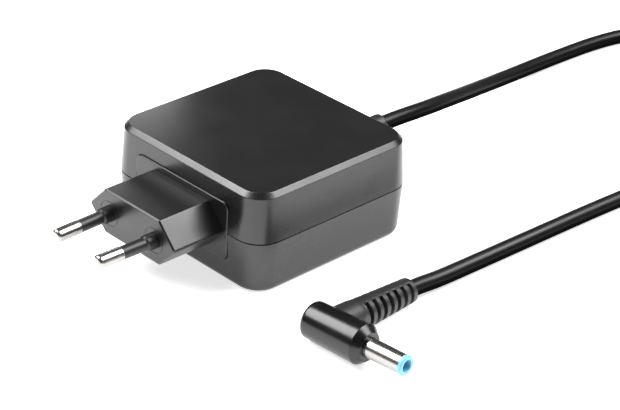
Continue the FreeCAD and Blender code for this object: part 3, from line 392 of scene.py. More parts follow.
def striped_metal(name, colour, second_colour, roughness, mark_mm, stretch, depth):
    """A worked metal: noise drawn out along one axis, in gloss and in bump."""
    material = bpy.data.materials.new(name)
    material.use_nodes = True
    tree = material.node_tree
    tree.nodes.clear()
    place = add_node(tree, "ShaderNodeTexCoord").outputs["Object"]
    drawn = add_node(tree, "ShaderNodeMapping", {"Vector": place, "Scale": stretch})
    marks = add_node(tree, "ShaderNodeTexNoise",
                     {"Vector": drawn.outputs["Vector"], "Scale": 1 / (mark_mm * MM),
                      "Detail": 4.0})
    tint = add_node(tree, "ShaderNodeMix",
                    {0: marks.outputs["Fac"], 6: linear(colour), 7: linear(second_colour)},
                    data_type="RGBA")
    gloss = add_node(tree, "ShaderNodeMapRange",
                     {"Value": marks.outputs["Fac"], "From Min": NOISE_LOW,
                      "From Max": NOISE_HIGH, "To Min": roughness * BRIGHT_MARK,
                      "To Max": roughness * DULL_MARK})
    bump = add_node(tree, "ShaderNodeBump",
                    {"Distance": depth * MM, "Height": marks.outputs["Fac"]})
    shader = add_node(tree, "ShaderNodeBsdfPrincipled",
                      {"Base Color": tint.outputs[2], "Roughness": gloss.outputs["Result"],
                       "Metallic": 1.0, "Normal": bump.outputs["Normal"]})
    add_node(tree, "ShaderNodeOutputMaterial", {"Surface": shader.outputs["BSDF"]})
    return material


def ribbed_surface(name, colour, second_colour, pitch_mm, depth, metallic, roughness, crossed):
    """Side-by-side wire, or cloth where the waves cross, with painted shade in the grooves and a
    painted highlight on the crests.
    """
    material = bpy.data.materials.new(name)
    material.use_nodes = True
    tree = material.node_tree
    tree.nodes.clear()
    place = add_node(tree, "ShaderNodeTexCoord").outputs["Object"]
    scale = WAVE_LENGTH / (pitch_mm * MM)
    waves = add_node(tree, "ShaderNodeTexWave",
                     {"Vector": place, "Scale": scale, "Distortion": 0.6, "Detail": 1.0},
                     bands_direction="Z")
    height = waves.outputs["Fac"]
    if crossed:
        weft = add_node(tree, "ShaderNodeTexWave",
                        {"Vector": place, "Scale": scale, "Distortion": 0.8, "Detail": 1.0},
                        bands_direction="DIAGONAL")
        height = add_node(tree, "ShaderNodeMath", {0: height, 1: weft.outputs["Fac"]},
                          operation="MAXIMUM").outputs["Value"]
    # The colour follows the waves: darker in the grooves as painted shade, lighter on the crests
    # as a painted highlight.
    tint = add_node(tree, "ShaderNodeMix",
                    {0: height, 6: linear(colour), 7: linear(second_colour)},
                    data_type="RGBA")
    bump = add_node(tree, "ShaderNodeBump", {"Distance": depth * MM, "Height": height})
    shader = add_node(tree, "ShaderNodeBsdfPrincipled",
                      {"Base Color": tint.outputs[2], "Roughness": roughness,
                       "Metallic": metallic, "Normal": bump.outputs["Normal"]})
    add_node(tree, "ShaderNodeOutputMaterial", {"Surface": shader.outputs["BSDF"]})
    return material


# Nickel gives a warm grey mirror with streaked edges, brass a yellow one, and rolled sheet a
# soft grey with lines along it.
METALS = {
    "nickel": striped_metal("Nickel_bright_plated", "#a3a19e", "#acaaa7", 0.24, 0.5,
                            (4.0, 0.15, 4.0), 0.0002),
    "contact": striped_metal("Brass_plated_contact", "#c9a55a", "#d6b46c", 0.22, 0.5,
                             (0.2, 3.0, 3.0), 0.001),
    "heatsink": striped_metal("Aluminium_rolled_sheet", "#b9babc", "#c6c7c9", 0.35, 0.4,
                              (0.1, 1.0, 2.0), 0.004),
    # The winding and the strap carry painted shade in their grooves and a painted highlight on
    # their crests.
    "copper_winding": ribbed_surface("Copper_enamelled_wire", "#8a4a1e", "#b5672e", 0.6, 0.2,
                                     1.0, 0.3, False),
    "hook_and_loop": ribbed_surface("Nylon_hook_and_loop", "#141415", "#242426", 0.9, 0.25,
                                    0.0, 0.85, True),
}
MATERIALS = PLASTICS | METALS
print(len(MATERIALS), "materials in all")

# %% [markdown]
# ## The cord
#
# A low-voltage cord is a length of soft PVC. It leaves its grommet straight, sinks to the table
# under its own weight, and lies there in slow curves. What isn't needed is wound into a neat
# ring. It could be a swept mesh, but one smooth curve with a round bevel is what a cord is, and
# its length can be read off it. The straight runs have few points, given one by one.
#
# The low-voltage plug lies a little askew: turned about the vertical, its mouth raised, and its
# arm dipping to the cord. One placement says so, and the plug's pieces and the last two points
# of the cord all use it.

# %% Placement of the low-voltage plug
DC_CROSSING = (59.5, -30.1, 5.6)
DC_TURN = (4.0, -1.3, -3.6)
ARM_LENGTH = 31.5

yaw, pitch, roll = (math.radians(value) for value in DC_TURN)
DC_PLACE = (Matrix.Translation(Vector(DC_CROSSING) * MM) @ Matrix.Rotation(yaw, 4, "Z")
            @ Matrix.Rotation(pitch, 4, "Y") @ Matrix.Rotation(roll, 4, "X"))
BODY_AXIS = DC_PLACE @ Matrix.Rotation(math.radians(90), 4, "Y")
ARM_AXIS = DC_PLACE @ Matrix.Rotation(math.radians(-90), 4, "X")


def arm_point(along):
    """A point on the arm's axis, in millimetres."""
    return tuple((DC_PLACE @ Vector((0, along * MM, 0))) / MM)


print("arm ends at", [round(value, 1) for value in arm_point(ARM_LENGTH)], "mm")

# %% Cord route
CORD_RADIUS = 2.4
FLOOR = CORD_RADIUS
GROMMET_TIP = (0.0, 47.7, 15.5)
RUN_OUT = [
    GROMMET_TIP,
    (0.0, 54.0, 15.5),
    (-0.4, 66.0, 14.5),
    (-3.35, 80.0, 12.0),
    (-8.4, 99.0, 7.8),
    (-12.9, 120.0, 4.1),
    (-15.0, 144.0, FLOOR),
    (-13.8, 170.0, FLOOR),
    (-9.0, 187.0, FLOOR),
    (2.4, 200.0, FLOOR),
    (18.4, 208.0, FLOOR),
]
RUN_BACK = [
    (69.7, 157.0, 14.3),
    (66.3, 139.0, 9.5),
    (64.0, 121.0, 4.7),
    (61.7, 101.0, FLOOR),
    (60.0, 78.0, FLOOR),
    (58.8, 50.0, FLOOR),
    (57.7, 24.5, FLOOR),
    (57.5, 12.0, 2.75),
    arm_point(ARM_LENGTH + 3.5),
    arm_point(ARM_LENGTH),
]

# %% [markdown]
# The ring of spare cord is wound as a hand winds it: from the outside in, one layer up, from
# the inside out, and so on. Each turn lies just over a cord's width from the last. The turns
# rise a little where they cross the strap that holds them. A formula gives the points, as a
# wound coil follows a rule and a laid cord doesn't.

# %% Turns of the coil
COIL_CENTRE = (42.0, 181.0)
OUTER_TURN = 31.4
TURN_PITCH = 4.9
COIL_ENTRY = 102.9
COIL_EXIT = -12.9
WHOLE_TURNS = 8
CLIMB = 0.25
LAYERS = 4
TIE_ANGLE = 150.0
TIE_LIFT = 0.85
LIFT_WINDOW = 45.0
POINTS_PER_TURN = 24


def coil_turns():
    """Points round the coil, clockwise from above, a layer of turns at a time."""
    sweep = WHOLE_TURNS + (COIL_ENTRY - COIL_EXIT) / 360
    layer = (sweep - (LAYERS - 1) * CLIMB) / LAYERS
    count = round(sweep * POINTS_PER_TURN)
    points = []
    for number in range(count + 1):
        wound = sweep * number / count
        level = min(int(wound / (layer + CLIMB)), LAYERS - 1)
        into = wound - level * (layer + CLIMB)
        across = min(into, layer) * TURN_PITCH
        radius = OUTER_TURN - (layer * TURN_PITCH - across if level % 2 else across)
        climbed = max(0.0, into - layer) / CLIMB
        climbed = climbed * climbed * (3 - 2 * climbed)
        angle = COIL_ENTRY - 360 * wound
        off_tie = min(abs((angle - TIE_ANGLE + 180) % 360 - 180), LIFT_WINDOW)
        lift = TIE_LIFT * math.cos(math.radians(off_tie * 90 / LIFT_WINDOW)) ** 2
        points.append((COIL_CENTRE[0] + radius * math.cos(math.radians(angle)),
                       COIL_CENTRE[1] + radius * math.sin(math.radians(angle)),
                       FLOOR + (level + climbed) * TURN_PITCH + lift))
    return points


# %% [markdown]
# The points become one NURBS curve. Its order of three keeps it close to the points and free
# of kinks, and `use_endpoint_u` makes it start and end exactly on the first and last of them.

# %% Cord curve
route = RUN_OUT + coil_turns() + RUN_BACK
curve = bpy.data.curves.new("output_cord", "CURVE")
curve.dimensions = "3D"
spline = curve.splines.new("NURBS")
spline.points.add(len(route) - 1)
for point, place in zip(spline.points, route):
    point.co = (*(Vector(place) * MM), 1.0)
spline.order_u = 3
spline.use_endpoint_u = True
curve.resolution_u = 6
curve.bevel_depth = CORD_RADIUS * MM
curve.bevel_resolution = 6
curve.use_fill_caps = True
cord = bpy.data.objects.new("output_cord", curve)
bpy.context.scene.collection.objects.link(cord)
adopt(cord, "cord_pvc", MATERIALS["cord_pvc"], "cord_run_out", "cord_coil", "cord_run_back")

# %% [markdown]
# ## The casing
#
# The casing is a lid and a tub of ABS, each drawn straight out of its mould, so the walls lean
# in by a few degrees of draft. They meet at the parting line in a fine square groove, which
# reads as one dark line because little light gets into it. The lid has a flat bevel round its
# top. A scaled and bevelled cube could give the outside, but the draft, the tapering corners
# and the hollow inside come out right only from sections.

# %% Lid and tub
PARTING = 15.5
CASE_HALF_X = 31.0
CASE_HALF_Y = 30.2
CASE_CORNER = 8.2
CASE_TOP = 30.1
RIM_BEVEL = 1.35
BASE_ROUND = 1.8
LID_DRAFT = math.tan(math.radians(3.9))
TUB_DRAFT = math.tan(math.radians(3.4))
GROOVE_DEPTH = 0.7
GROOVE_HALF = 0.16
WALL = 2.5
WALL_FOOT = WALL + 0.9
TUB_FLOOR = 2.2
CAP_INSET = 12.0
INNER_FILLET = 0.8
GROOVE_EDGE = 0.05
RIM_EDGE = 0.3
CORNER_STEPS = 14


def shell(name, section):
    """A lid or tub from (inset, height) pairs that run from the inside face to the outside."""
    rings = []
    for move, height in section:
        corners = rectangle(CASE_HALF_X - move, CASE_HALF_Y - move)
        loop = rounded_loop(corners, max(CASE_CORNER - move, 0.8), CORNER_STEPS)
        rings.append([(x, y, height) for x, y in loop])
    return skin(name, rings)


lid_rim = (CASE_TOP - RIM_BEVEL - PARTING) * LID_DRAFT
lid = shell("top_cover", rounded(
    [(CAP_INSET, CASE_TOP - WALL), (WALL_FOOT, CASE_TOP - WALL), (WALL, PARTING),
     (GROOVE_DEPTH, PARTING), (GROOVE_DEPTH, PARTING + GROOVE_HALF),
     (0.0, PARTING + GROOVE_HALF), (lid_rim, CASE_TOP - RIM_BEVEL),
     (lid_rim + RIM_BEVEL, CASE_TOP), (CAP_INSET, CASE_TOP)],
    [INNER_FILLET, 0.0, 0.0, 0.0, GROOVE_EDGE, RIM_EDGE, RIM_EDGE]))
tub_rim = PARTING * TUB_DRAFT
tub = shell("bottom_cover", rounded(
    [(CAP_INSET, TUB_FLOOR), (WALL_FOOT, TUB_FLOOR), (WALL, PARTING), (GROOVE_DEPTH, PARTING),
     (GROOVE_DEPTH, PARTING - GROOVE_HALF), (0.0, PARTING - GROOVE_HALF), (tub_rim, 0.0),
     (CAP_INSET, 0.0)],
    [INNER_FILLET, 0.0, 0.0, 0.0, GROOVE_EDGE, BASE_ROUND]))

# %% [markdown]
# The mains plug sits in a mouth that is half in the lid and half in the tub, and the cord
# leaves through a round hole on the parting line. Both are cut with exact booleans and baked.

# %% Openings
PLATE_HALF_X = 18.9
PLATE_HALF_Z = 8.75
PLUG_Z = 15.65
PLATE_GAP = 0.15
PLATE_CORNER = 2.0
MOUTH_FROM, MOUTH_TO = -34.0, -24.0
HOLE_FROM, HOLE_LENGTH = 24.0, 10.0
GROMMET_NECK = 4.0
STAND_UP = Matrix.Rotation(math.radians(90), 4, "X")


def standing_loop(corners, radius, y):
    """A section that stands up in the XZ plane at the plug's height, at one distance along Y."""
    return [(x, y, PLUG_Z + up) for x, up in rounded_loop(corners, radius)]


for cover in (lid, tub):
    mouth = rectangle(PLATE_HALF_X + PLATE_GAP, PLATE_HALF_Z + PLATE_GAP)
    carve(cover, skin("mouth", [standing_loop(mouth, PLATE_CORNER, y)
                                for y in (MOUTH_FROM, MOUTH_TO)]))
    hole = Matrix.Translation(Vector((0, HOLE_FROM, PARTING)) * MM) @ STAND_UP.inverted()
    carve(cover, turned("cord_hole", [(GROMMET_NECK, 0.0), (GROMMET_NECK, HOLE_LENGTH)], hole))
adopt(lid, "case_abs", MATERIALS["case_abs"], "top_cover")
adopt(tub, "case_abs", MATERIALS["case_abs"], "bottom_cover")

# %% [markdown]
# ## The mains plug
#
# A flat two-pin plug has a six-sided body, thick in the middle, so that it fits both flat and
# round sockets. It is moulded with a rectangular plate that fills the casing's mouth. The
# moulding could be one bevelled mesh, but a plate and a six-sided prism, joined, keep each
# edge at its own radius. A shallow ring round each pin is where the pin's insert closed.

# %% Plug housing
PLUG_FRONT = -47.6
PLATE_FACE = -30.2
PLUG_HALF_FLAT = 11.3
PLUG_HALF_WIDE = 17.9
PLUG_HALF_Z = 6.85
PLUG_CORNER = 0.7
PLATE_BACK = -26.0
PRISM_BACK = -29.0
FACE_INSET = 3.0
FACE_CHAMFER = 0.4
PIN_SPREAD = 9.3
SEAM_RADIUS = 3.6
SEAM_WIDTH = 0.15
SEAM_DEPTH = 0.12
SEAM_ABOVE = 0.5
six_sides = [(PLUG_HALF_FLAT, PLUG_HALF_Z), (-PLUG_HALF_FLAT, PLUG_HALF_Z),
             (-PLUG_HALF_WIDE, 0.0), (-PLUG_HALF_FLAT, -PLUG_HALF_Z),
             (PLUG_HALF_FLAT, -PLUG_HALF_Z), (PLUG_HALF_WIDE, 0.0)]
prism = skin("prism", [
    standing_loop(inset(six_sides, move), PLUG_CORNER, y)
    for move, y in rounded([(0.0, PRISM_BACK), (0.0, PLUG_FRONT + FACE_CHAMFER),
                            (FACE_CHAMFER, PLUG_FRONT), (FACE_INSET, PLUG_FRONT)],
                           [0.15, 0.15])])
plate = rectangle(PLATE_HALF_X, PLATE_HALF_Z)
housing = skin("plug_housing", [
    standing_loop(inset(plate, move), PLATE_CORNER, y)
    for move, y in rounded([(FACE_INSET, PLATE_BACK), (0.0, PLATE_BACK), (0.0, PLATE_FACE),
                            (FACE_INSET, PLATE_FACE)], [0.2, 0.25])])
carve(housing, prism, "UNION")
for side in (-1, 1):
    seat = Matrix.Translation(Vector((side * PIN_SPREAD, PLUG_FRONT, PLUG_Z)) * MM) @ STAND_UP
    seam = [(SEAM_RADIUS, -SEAM_DEPTH), (SEAM_RADIUS + SEAM_WIDTH, -SEAM_DEPTH),
            (SEAM_RADIUS + SEAM_WIDTH, SEAM_ABOVE), (SEAM_RADIUS, SEAM_ABOVE)]
    carve(housing, turned("seam", seam, seat, closed=True))
adopt(housing, "plug_abs", MATERIALS["plug_abs"], "plug_housing")

# %% [markdown]
# ## The mains pins
#
# Each pin is plated brass with a round nose, thinner where the moulded sleeve covers it. The
# two lean towards each other by about 1.7 degrees, which makes them grip the socket. Pin and
# sleeve are both turned from a half section.

# %% Pins and sleeves
PIN_LEAN = 1.66
PIN_INSIDE = 24.6
PIN_LENGTH = 19.0
PIN_BARE = 8.0
PIN_RADIUS = 2.0
PIN_CORE = 1.45
SLEEVE_RADIUS = 1.84
COLLAR_RADIUS = 2.3
COLLAR_LENGTH = 3.0
SLEEVE_FOOT = 0.07
NOSE_ROUND = 1.8
for side, word in ((-1, "left"), (1, "right")):
    lean = Matrix.Rotation(math.radians(-side * PIN_LEAN), 4, "Z")
    root = Matrix.Translation(Vector((side * PIN_SPREAD, PLUG_FRONT, PLUG_Z)) * MM)
    along = root @ lean @ STAND_UP
    shoulder = PIN_LENGTH - PIN_BARE
    pin = turned(f"plug_pin_{word}", rounded(
        [(0.0, -PIN_INSIDE), (PIN_CORE, -PIN_INSIDE), (PIN_CORE, shoulder),
         (PIN_RADIUS, shoulder), (PIN_RADIUS, PIN_LENGTH), (0.0, PIN_LENGTH)],
        [0.2, 0.0, 0.15, NOSE_ROUND]), along)
    adopt(pin, "nickel", MATERIALS["nickel"], f"plug_pin_{word}")
    sleeve = turned(f"pin_sleeve_{word}", rounded(
        [(PIN_CORE, SLEEVE_FOOT), (COLLAR_RADIUS, SLEEVE_FOOT),
         (COLLAR_RADIUS, COLLAR_LENGTH), (SLEEVE_RADIUS, COLLAR_LENGTH + 0.4),
         (SLEEVE_RADIUS, shoulder), (PIN_CORE, shoulder)],
        [0.0, 0.15, 0.15, 0.12]), along, closed=True)
    adopt(sleeve, "sleeve_pvc", MATERIALS["sleeve_pvc"], f"pin_sleeve_{word}")

# %% [markdown]
# ## The grommet
#
# The cord leaves through a grommet moulded straight onto it. Its flange is trapped inside the
# wall, its neck fills the hole, and a plain round collar outside keeps the cord from bending
# sharply. All of it is round, so one turned section makes it.

# %% Grommet
GROMMET_BACK = 24.9
FLANGE_RADIUS = 5.0
FLANGE_FACE = 26.0
NECK_RADIUS = 3.95
NECK_END = 30.6
grommet_place = Matrix.Translation(Vector((0, 0, PARTING)) * MM) @ STAND_UP.inverted()
grommet = turned("cord_grommet", rounded(
    [(0.0, GROMMET_BACK), (FLANGE_RADIUS, GROMMET_BACK), (FLANGE_RADIUS, FLANGE_FACE),
     (NECK_RADIUS, FLANGE_FACE), (NECK_RADIUS, NECK_END), (3.55, NECK_END + 0.6),
     (3.4, GROMMET_TIP[1]), (0.0, GROMMET_TIP[1])],
    [0.2, 0.2, 0.1, 0.15, 0.2, 0.45]), grommet_place)
adopt(grommet, "boot_pvc", MATERIALS["boot_pvc"], "cord_grommet")

# %% [markdown]
# ## The low-voltage plug
#
# The right-angled plug is one soft moulding over a metal barrel: a round body, and an arm at
# right angles to it that holds the cord. The body is a turned section with a rounded back and
# a long bevel at the front. The barrel, its blue insulator, the inner contact and the centre
# pin share the body's axis, so they are turned too, each from its own half section.

# %% Plug body and contacts
BARREL = 2.75
BARREL_INNER = 2.4
NECK = 2.5
NECK_INNER = 2.15
BARREL_END = 24.6
MOUTH = 25.7
BORE = 1.65
LINER = 1.95
BORE_FLOOR = 14.7
LINER_END = 21.7
BODY_BACK = -6.8
BODY_FRONT = 13.2
BODY_FRONT_RADIUS = 5.65
BODY_BACK_RADIUS = 5.25
BODY_FACE_RADIUS = 4.0
BODY_BEVEL = 2.1
STEM_START = 4.0
STEP = BODY_FRONT + 0.35
PIN_FOOT = 0.6
PIN_THIN = 0.35
PIN_TIP = MOUTH - 1.6
body = turned("dc_plug_body", rounded(
    [(0.0, STEM_START), (NECK, STEM_START), (NECK, BODY_FRONT),
     (BODY_FACE_RADIUS, BODY_FRONT), (BODY_FRONT_RADIUS, BODY_FRONT - BODY_BEVEL),
     (BODY_BACK_RADIUS, BODY_BACK), (0.0, BODY_BACK)],
    [0.0, 0.0, 0.2, 0.35, 1.3]), BODY_AXIS, segments=96)
adopt(body, "dc_body_pvc", MATERIALS["dc_body_pvc"], "dc_plug_body")
barrel = turned("dc_barrel", rounded(
    [(NECK_INNER, STEM_START), (NECK, STEM_START), (NECK, BODY_FRONT), (BARREL, BODY_FRONT),
     (BARREL, BARREL_END), (BARREL_INNER, BARREL_END), (BARREL_INNER, STEP),
     (NECK_INNER, STEP)],
    [0.0, 0.0, 0.1, 0.08, 0.0, 0.0]), BODY_AXIS, closed=True)
adopt(barrel, "nickel", MATERIALS["nickel"], "dc_barrel")
ring = turned("dc_tip_ring", rounded(
    [(0.0, STEM_START), (NECK_INNER, STEM_START), (NECK_INNER, STEP),
     (BARREL_INNER, STEP), (BARREL_INNER, BARREL_END), (BARREL, BARREL_END),
     (BARREL, MOUTH), (BORE, MOUTH), (BORE, LINER_END), (LINER, LINER_END),
     (LINER, BORE_FLOOR), (PIN_FOOT, BORE_FLOOR), (PIN_FOOT, BORE_FLOOR - 2.0),
     (0.0, BORE_FLOOR - 2.0)],
    [0.0, 0.0, 0.0, 0.0, 0.05, 0.35, 0.2, 0.0, 0.0, 0.0, 0.0, 0.0]), BODY_AXIS)
adopt(ring, "tip_blue", MATERIALS["tip_blue"], "dc_tip_ring")
liner = turned("dc_inner_sleeve", [(BORE, BORE_FLOOR), (LINER, BORE_FLOOR), (LINER, LINER_END),
                                   (BORE, LINER_END)], BODY_AXIS, closed=True)
adopt(liner, "contact", MATERIALS["contact"], "dc_inner_sleeve")
centre_pin = turned("dc_centre_pin", rounded(
    [(0.0, BORE_FLOOR - 2.0), (PIN_FOOT, BORE_FLOOR - 2.0), (PIN_FOOT, BORE_FLOOR),
     (PIN_THIN, BORE_FLOOR), (PIN_THIN, PIN_TIP), (0.0, PIN_TIP)],
    [0.0, 0.0, 0.0, 0.15]), BODY_AXIS, segments=32)
adopt(centre_pin, "contact", MATERIALS["contact"], "dc_centre_pin")

# %% [markdown]
# ## The ribbed arm
#
# The arm bends with the cord because seven slots are cut into each of its sides, and a spine
# is left above and below. The slots repeat, so a Geometry Nodes tree sinks them into a finely
# divided tube. Its inputs are what a drawing of the arm would state: where the slots begin,
# their pitch and width, how many there are, how far round they reach, and how deep they go.

# %% Arm blank
RIB_START = 10.7
RIB_PITCH = 2.92
RIB_GAP = 1.45
RIB_COUNT = 7
RIB_FLOOR = 2.85
RIB_REACH = 70.0
RIB_EDGE = 0.14
ARM_ROOT = 4.9
ARM_WAIST = 4.7
ARM_RIBS = 4.5
ARM_TIP = 3.6
groove_end = RIB_START + RIB_COUNT * RIB_PITCH
arm_outline = rounded(
    [(0.0, 2.0), (ARM_ROOT, 2.0), (ARM_WAIST, RIB_START - 2.0), (ARM_RIBS, RIB_START - 0.5),
     (ARM_TIP, groove_end), (ARM_TIP, ARM_LENGTH - 0.5), (ARM_TIP - 0.5, ARM_LENGTH),
     (0.0, ARM_LENGTH)],
    [0.0, 1.2, 0.6, 0.5, 0.2, 0.15])
FINE_STEP = 0.13


def divided(section, low, high, step):
    """The same section with more points along its run between two heights."""
    points = [Vector(section[0])]
    for before, after in zip(section, section[1:]):
        before, after = Vector(before), Vector(after)
        parts = 1
        if before.y >= low and after.y <= high:
            parts = max(1, math.ceil((after - before).length / step))
        points += [before.lerp(after, part / parts) for part in range(1, parts + 1)]
    return points


arm = turned("dc_strain_relief", divided(arm_outline, RIB_START - 0.6, groove_end, FINE_STEP),
             segments=120)
print("arm blank:", len(arm.data.vertices), "points")

# %% [markdown]
# The tree works out, for each point, how far it is along the arm, which slot that falls in and
# how far round it is. Where all three say "inside a slot", the point moves in to the floor.
# Two smooth steps give the slots their slightly soft edges and ends.

# %% Slots as Geometry Nodes
END_SOFTNESS = 0.09


def slot_tree():
    """Moves points towards the axis inside a row of slots on the two X sides."""
    tree = bpy.data.node_groups.new("rib_slots", "GeometryNodeTree")
    face = tree.interface
    face.new_socket("Geometry", in_out="INPUT", socket_type="NodeSocketGeometry")
    for name in ("Start", "Pitch", "Width", "Floor radius", "Edge"):
        face.new_socket(name, in_out="INPUT", socket_type="NodeSocketFloat")
    face.new_socket("Reach", in_out="INPUT", socket_type="NodeSocketFloat")
    face.new_socket("Count", in_out="INPUT", socket_type="NodeSocketInt")
    face.new_socket("Material", in_out="INPUT", socket_type="NodeSocketMaterial")
    face.new_socket("Geometry", in_out="OUTPUT", socket_type="NodeSocketGeometry")
    given = add_node(tree, "NodeGroupInput").outputs

    def calculate(operation, *values):
        node = add_node(tree, "ShaderNodeMath", dict(enumerate(values)), operation=operation)
        return node.outputs["Value"]

    place = add_node(tree, "GeometryNodeInputPosition").outputs["Position"]
    axes = add_node(tree, "ShaderNodeSeparateXYZ", {"Vector": place}).outputs
    flat = add_node(tree, "ShaderNodeVectorMath", {0: place, 1: (1.0, 1.0, 0.0)},
                    operation="MULTIPLY").outputs["Vector"]
    radius = add_node(tree, "ShaderNodeVectorMath", {0: flat}, operation="LENGTH").outputs["Value"]
    along = calculate("SUBTRACT", axes["Z"], given["Start"])
    number = calculate("FLOOR", calculate("DIVIDE", along, given["Pitch"]))
    inside = calculate("SUBTRACT", along, calculate("MULTIPLY", number, given["Pitch"]))
    off_middle = calculate("ABSOLUTE", calculate("SUBTRACT", inside,
                                                 calculate("MULTIPLY", given["Width"], 0.5)))
    across = add_node(tree, "ShaderNodeMapRange", {
        "Value": calculate("SUBTRACT", calculate("MULTIPLY", given["Width"], 0.5), off_middle),
        "From Min": 0.0, "From Max": given["Edge"]}, interpolation_type="SMOOTHSTEP")
    angle = calculate("ABSOLUTE", calculate("ARCTAN2", axes["Y"],
                                            calculate("ABSOLUTE", axes["X"])))
    round_about = add_node(tree, "ShaderNodeMapRange", {
        "Value": calculate("SUBTRACT", given["Reach"], angle),
        "From Min": 0.0, "From Max": END_SOFTNESS}, interpolation_type="SMOOTHSTEP")
    counted = calculate("MULTIPLY", calculate("GREATER_THAN", number, -0.5),
                        calculate("LESS_THAN", number, calculate("SUBTRACT", given["Count"], 0.5)))
    share = calculate("MULTIPLY", calculate("MULTIPLY", across.outputs["Result"],
                                            round_about.outputs["Result"]), counted)
    sink = calculate("MULTIPLY", share, calculate("SUBTRACT", radius, given["Floor radius"]))
    inwards = add_node(tree, "ShaderNodeVectorMath", {0: flat}, operation="NORMALIZE")
    offset = add_node(tree, "ShaderNodeVectorMath",
                      {0: inwards.outputs["Vector"], "Scale": calculate("MULTIPLY", sink, -1.0)},
                      operation="SCALE")
    moved = add_node(tree, "GeometryNodeSetPosition",
                     {"Geometry": given["Geometry"], "Offset": offset.outputs["Vector"]})
    realized = add_node(tree, "GeometryNodeRealizeInstances",
                        {"Geometry": moved.outputs["Geometry"]})
    dressed = add_node(tree, "GeometryNodeSetMaterial",
                       {"Geometry": realized.outputs["Geometry"], "Material": given["Material"]})
    add_node(tree, "NodeGroupOutput", {"Geometry": dressed.outputs["Geometry"]})
    return tree


def bake_nodes(piece, tree, values):
    """Run a tree on a piece with named inputs, and keep the result as a plain mesh."""
    modifier = piece.modifiers.new(tree.name, "NODES")
    modifier.node_group = tree
    for item in tree.interface.items_tree:
        if item.in_out == "INPUT" and item.name in values:
            modifier[item.identifier] = values[item.name]
    graph = bpy.context.evaluated_depsgraph_get()
    baked = bpy.data.meshes.new_from_object(piece.evaluated_get(graph))
    piece.modifiers.remove(modifier)
    piece.data = baked


bake_nodes(arm, slot_tree(), {
    "Start": RIB_START * MM, "Pitch": RIB_PITCH * MM, "Width": RIB_GAP * MM,
    "Floor radius": RIB_FLOOR * MM, "Edge": RIB_EDGE * MM, "Reach": math.radians(RIB_REACH),
    "Count": RIB_COUNT, "Material": MATERIALS["boot_pvc"]})
arm.data.transform(ARM_AXIS)
smooth(arm)
adopt(arm, "boot_pvc", MATERIALS["boot_pvc"], "dc_strain_relief")

# %% [markdown]
# ## The strap round the coil
#
# The spare cord is held by a woven strap, wrapped once through the ring. Pulled tight, it is a
# rounded rectangle that follows the bundle's section, so two such loops, one inside the other,
# make its skin.

# %% Strap
STRAP_WIDTH = 12.0
STRAP_WALL = 0.8
BUNDLE_HALF = 7.1
BUNDLE_LOW = 0.8
BUNDLE_HIGH = 20.4
BUNDLE_ROUND = 2.0
STRAP_STEPS = 8
INNER_TURN = 22.1
middle_radius = (OUTER_TURN + INNER_TURN) / 2
strap_place = (Matrix.Translation(Vector((*COIL_CENTRE, 0.0)) * MM)
               @ Matrix.Rotation(math.radians(TIE_ANGLE), 4, "Z"))
bundle = rectangle(BUNDLE_HALF, (BUNDLE_HIGH - BUNDLE_LOW) / 2)
middle_height = (BUNDLE_HIGH + BUNDLE_LOW) / 2


def strap_loop(grow, y):
    """One loop of the strap, `grow` mm outside the bundle."""
    loop = rounded_loop(inset(bundle, -grow), BUNDLE_ROUND + grow, STRAP_STEPS)
    return [(middle_radius + x, y, middle_height + up) for x, up in loop]


half_strap = STRAP_WIDTH / 2
strap = skin("cord_tie", [strap_loop(0.0, half_strap), strap_loop(STRAP_WALL, half_strap),
                          strap_loop(STRAP_WALL, -half_strap), strap_loop(0.0, -half_strap)],
             strap_place, closed=True)
adopt(strap, "hook_and_loop", MATERIALS["hook_and_loop"], "cord_tie")

# %% [markdown]
# The cord ends in its plug's arm and runs through its strap, so it carries both.

# %% Facts of the cord
print("the cord ends in the plug's arm and runs through the strap")

# %% [markdown]
# ## Inside the casing
#
# The circuit board and what stands on it are sealed in, so they keep their engineering meshes.
# Each gets the material of the real component, by its slot.

# %% Materials of the inner pieces
for part in frame["record"]["subparts"]:
    node = frame["nodes"][part["node"]]
    node.data.materials.clear()
    node.data.materials.append(MATERIALS[part["material_slot"]])

# %% [markdown]
# ## Table and light
#
# A plain pale table and two softboxes high up, as small products are lit. One stands behind to
# the right and one in front to the left, each where a bevel of the lid mirrors it. The
# table between them is lit past white, and it is what the walls of the casing mirror. The room
# behind is left dim, so the lid's top stays dark. A small card close to the left corner puts a
# soft glow there, which also reaches the end of the plug's top.

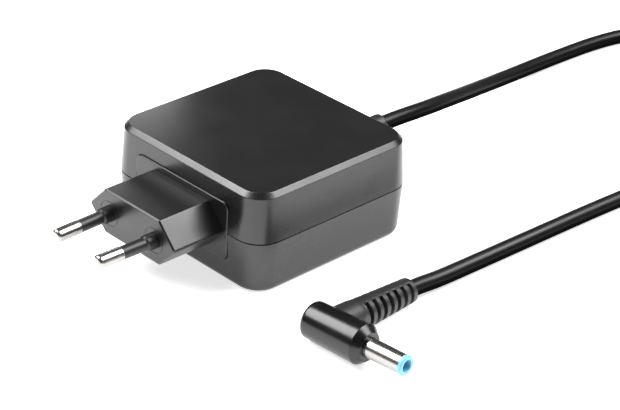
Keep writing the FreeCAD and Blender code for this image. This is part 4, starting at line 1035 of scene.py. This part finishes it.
# %% Table
TABLE_HALF = 3.0
TABLE_GLOW = 0.7


def make_table():
    """One large sheet of paper, with a little light of its own to lift it past white."""
    build = bmesh.new()
    bmesh.ops.create_grid(build, x_segments=1, y_segments=1, size=TABLE_HALF)
    mesh = bpy.data.meshes.new("table_top")
    build.to_mesh(mesh)
    build.free()
    table = bpy.data.objects.new("table_top", mesh)
    bpy.context.scene.collection.objects.link(table)
    material = bpy.data.materials.new("Paper_backdrop")
    material.use_nodes = True
    shader = material.node_tree.nodes["Principled BSDF"]
    shader.inputs["Base Color"].default_value = linear("#f4f4f4")
    shader.inputs["Roughness"].default_value = 0.9
    shader.inputs["Specular IOR Level"].default_value = 0.1
    shader.inputs["Emission Color"].default_value = linear("#ffffff")
    shader.inputs["Emission Strength"].default_value = TABLE_GLOW
    mesh.materials.append(material)


make_table()
print("table", 2 * TABLE_HALF, "m across")

# %% Softboxes and room
ROOM_GLOW = 0.12
AIM_HEIGHT = 15.0


def softbox(name, direction, distance, size, radiance):
    """A square light that faces the casing, set by how bright its face is."""
    light = bpy.data.lights.new(name, "AREA")
    light.shape = "SQUARE"
    light.size = size
    light.energy = radiance * math.pi * size * size
    lamp = bpy.data.objects.new(name, light)
    away = Vector(direction).normalized()
    lamp.location = away * distance + Vector((0.0, 0.0, AIM_HEIGHT)) * MM
    lamp.rotation_euler = away.to_track_quat("Z", "Y").to_euler()
    lamp.visible_camera = False
    bpy.context.scene.collection.objects.link(lamp)
    print(f"{name}: {light.energy:.2f} W")


softbox("softbox_back_right", (0.374, 0.490, 0.788), 0.60, 0.38, 9.8)
softbox("softbox_front_left", (-0.490, -0.374, 0.788), 0.60, 0.42, 11.5)
softbox("small_card_left", (-0.910, 0.250, 0.330), 0.102, 0.035, 4.2)
world = bpy.data.worlds.new("room")
world.use_nodes = True
world.node_tree.nodes["Background"].inputs["Color"].default_value = linear("#ffffff")
world.node_tree.nodes["Background"].inputs["Strength"].default_value = ROOM_GLOW
bpy.context.scene.world = world
bpy.context.scene.view_settings.view_transform = "Standard"
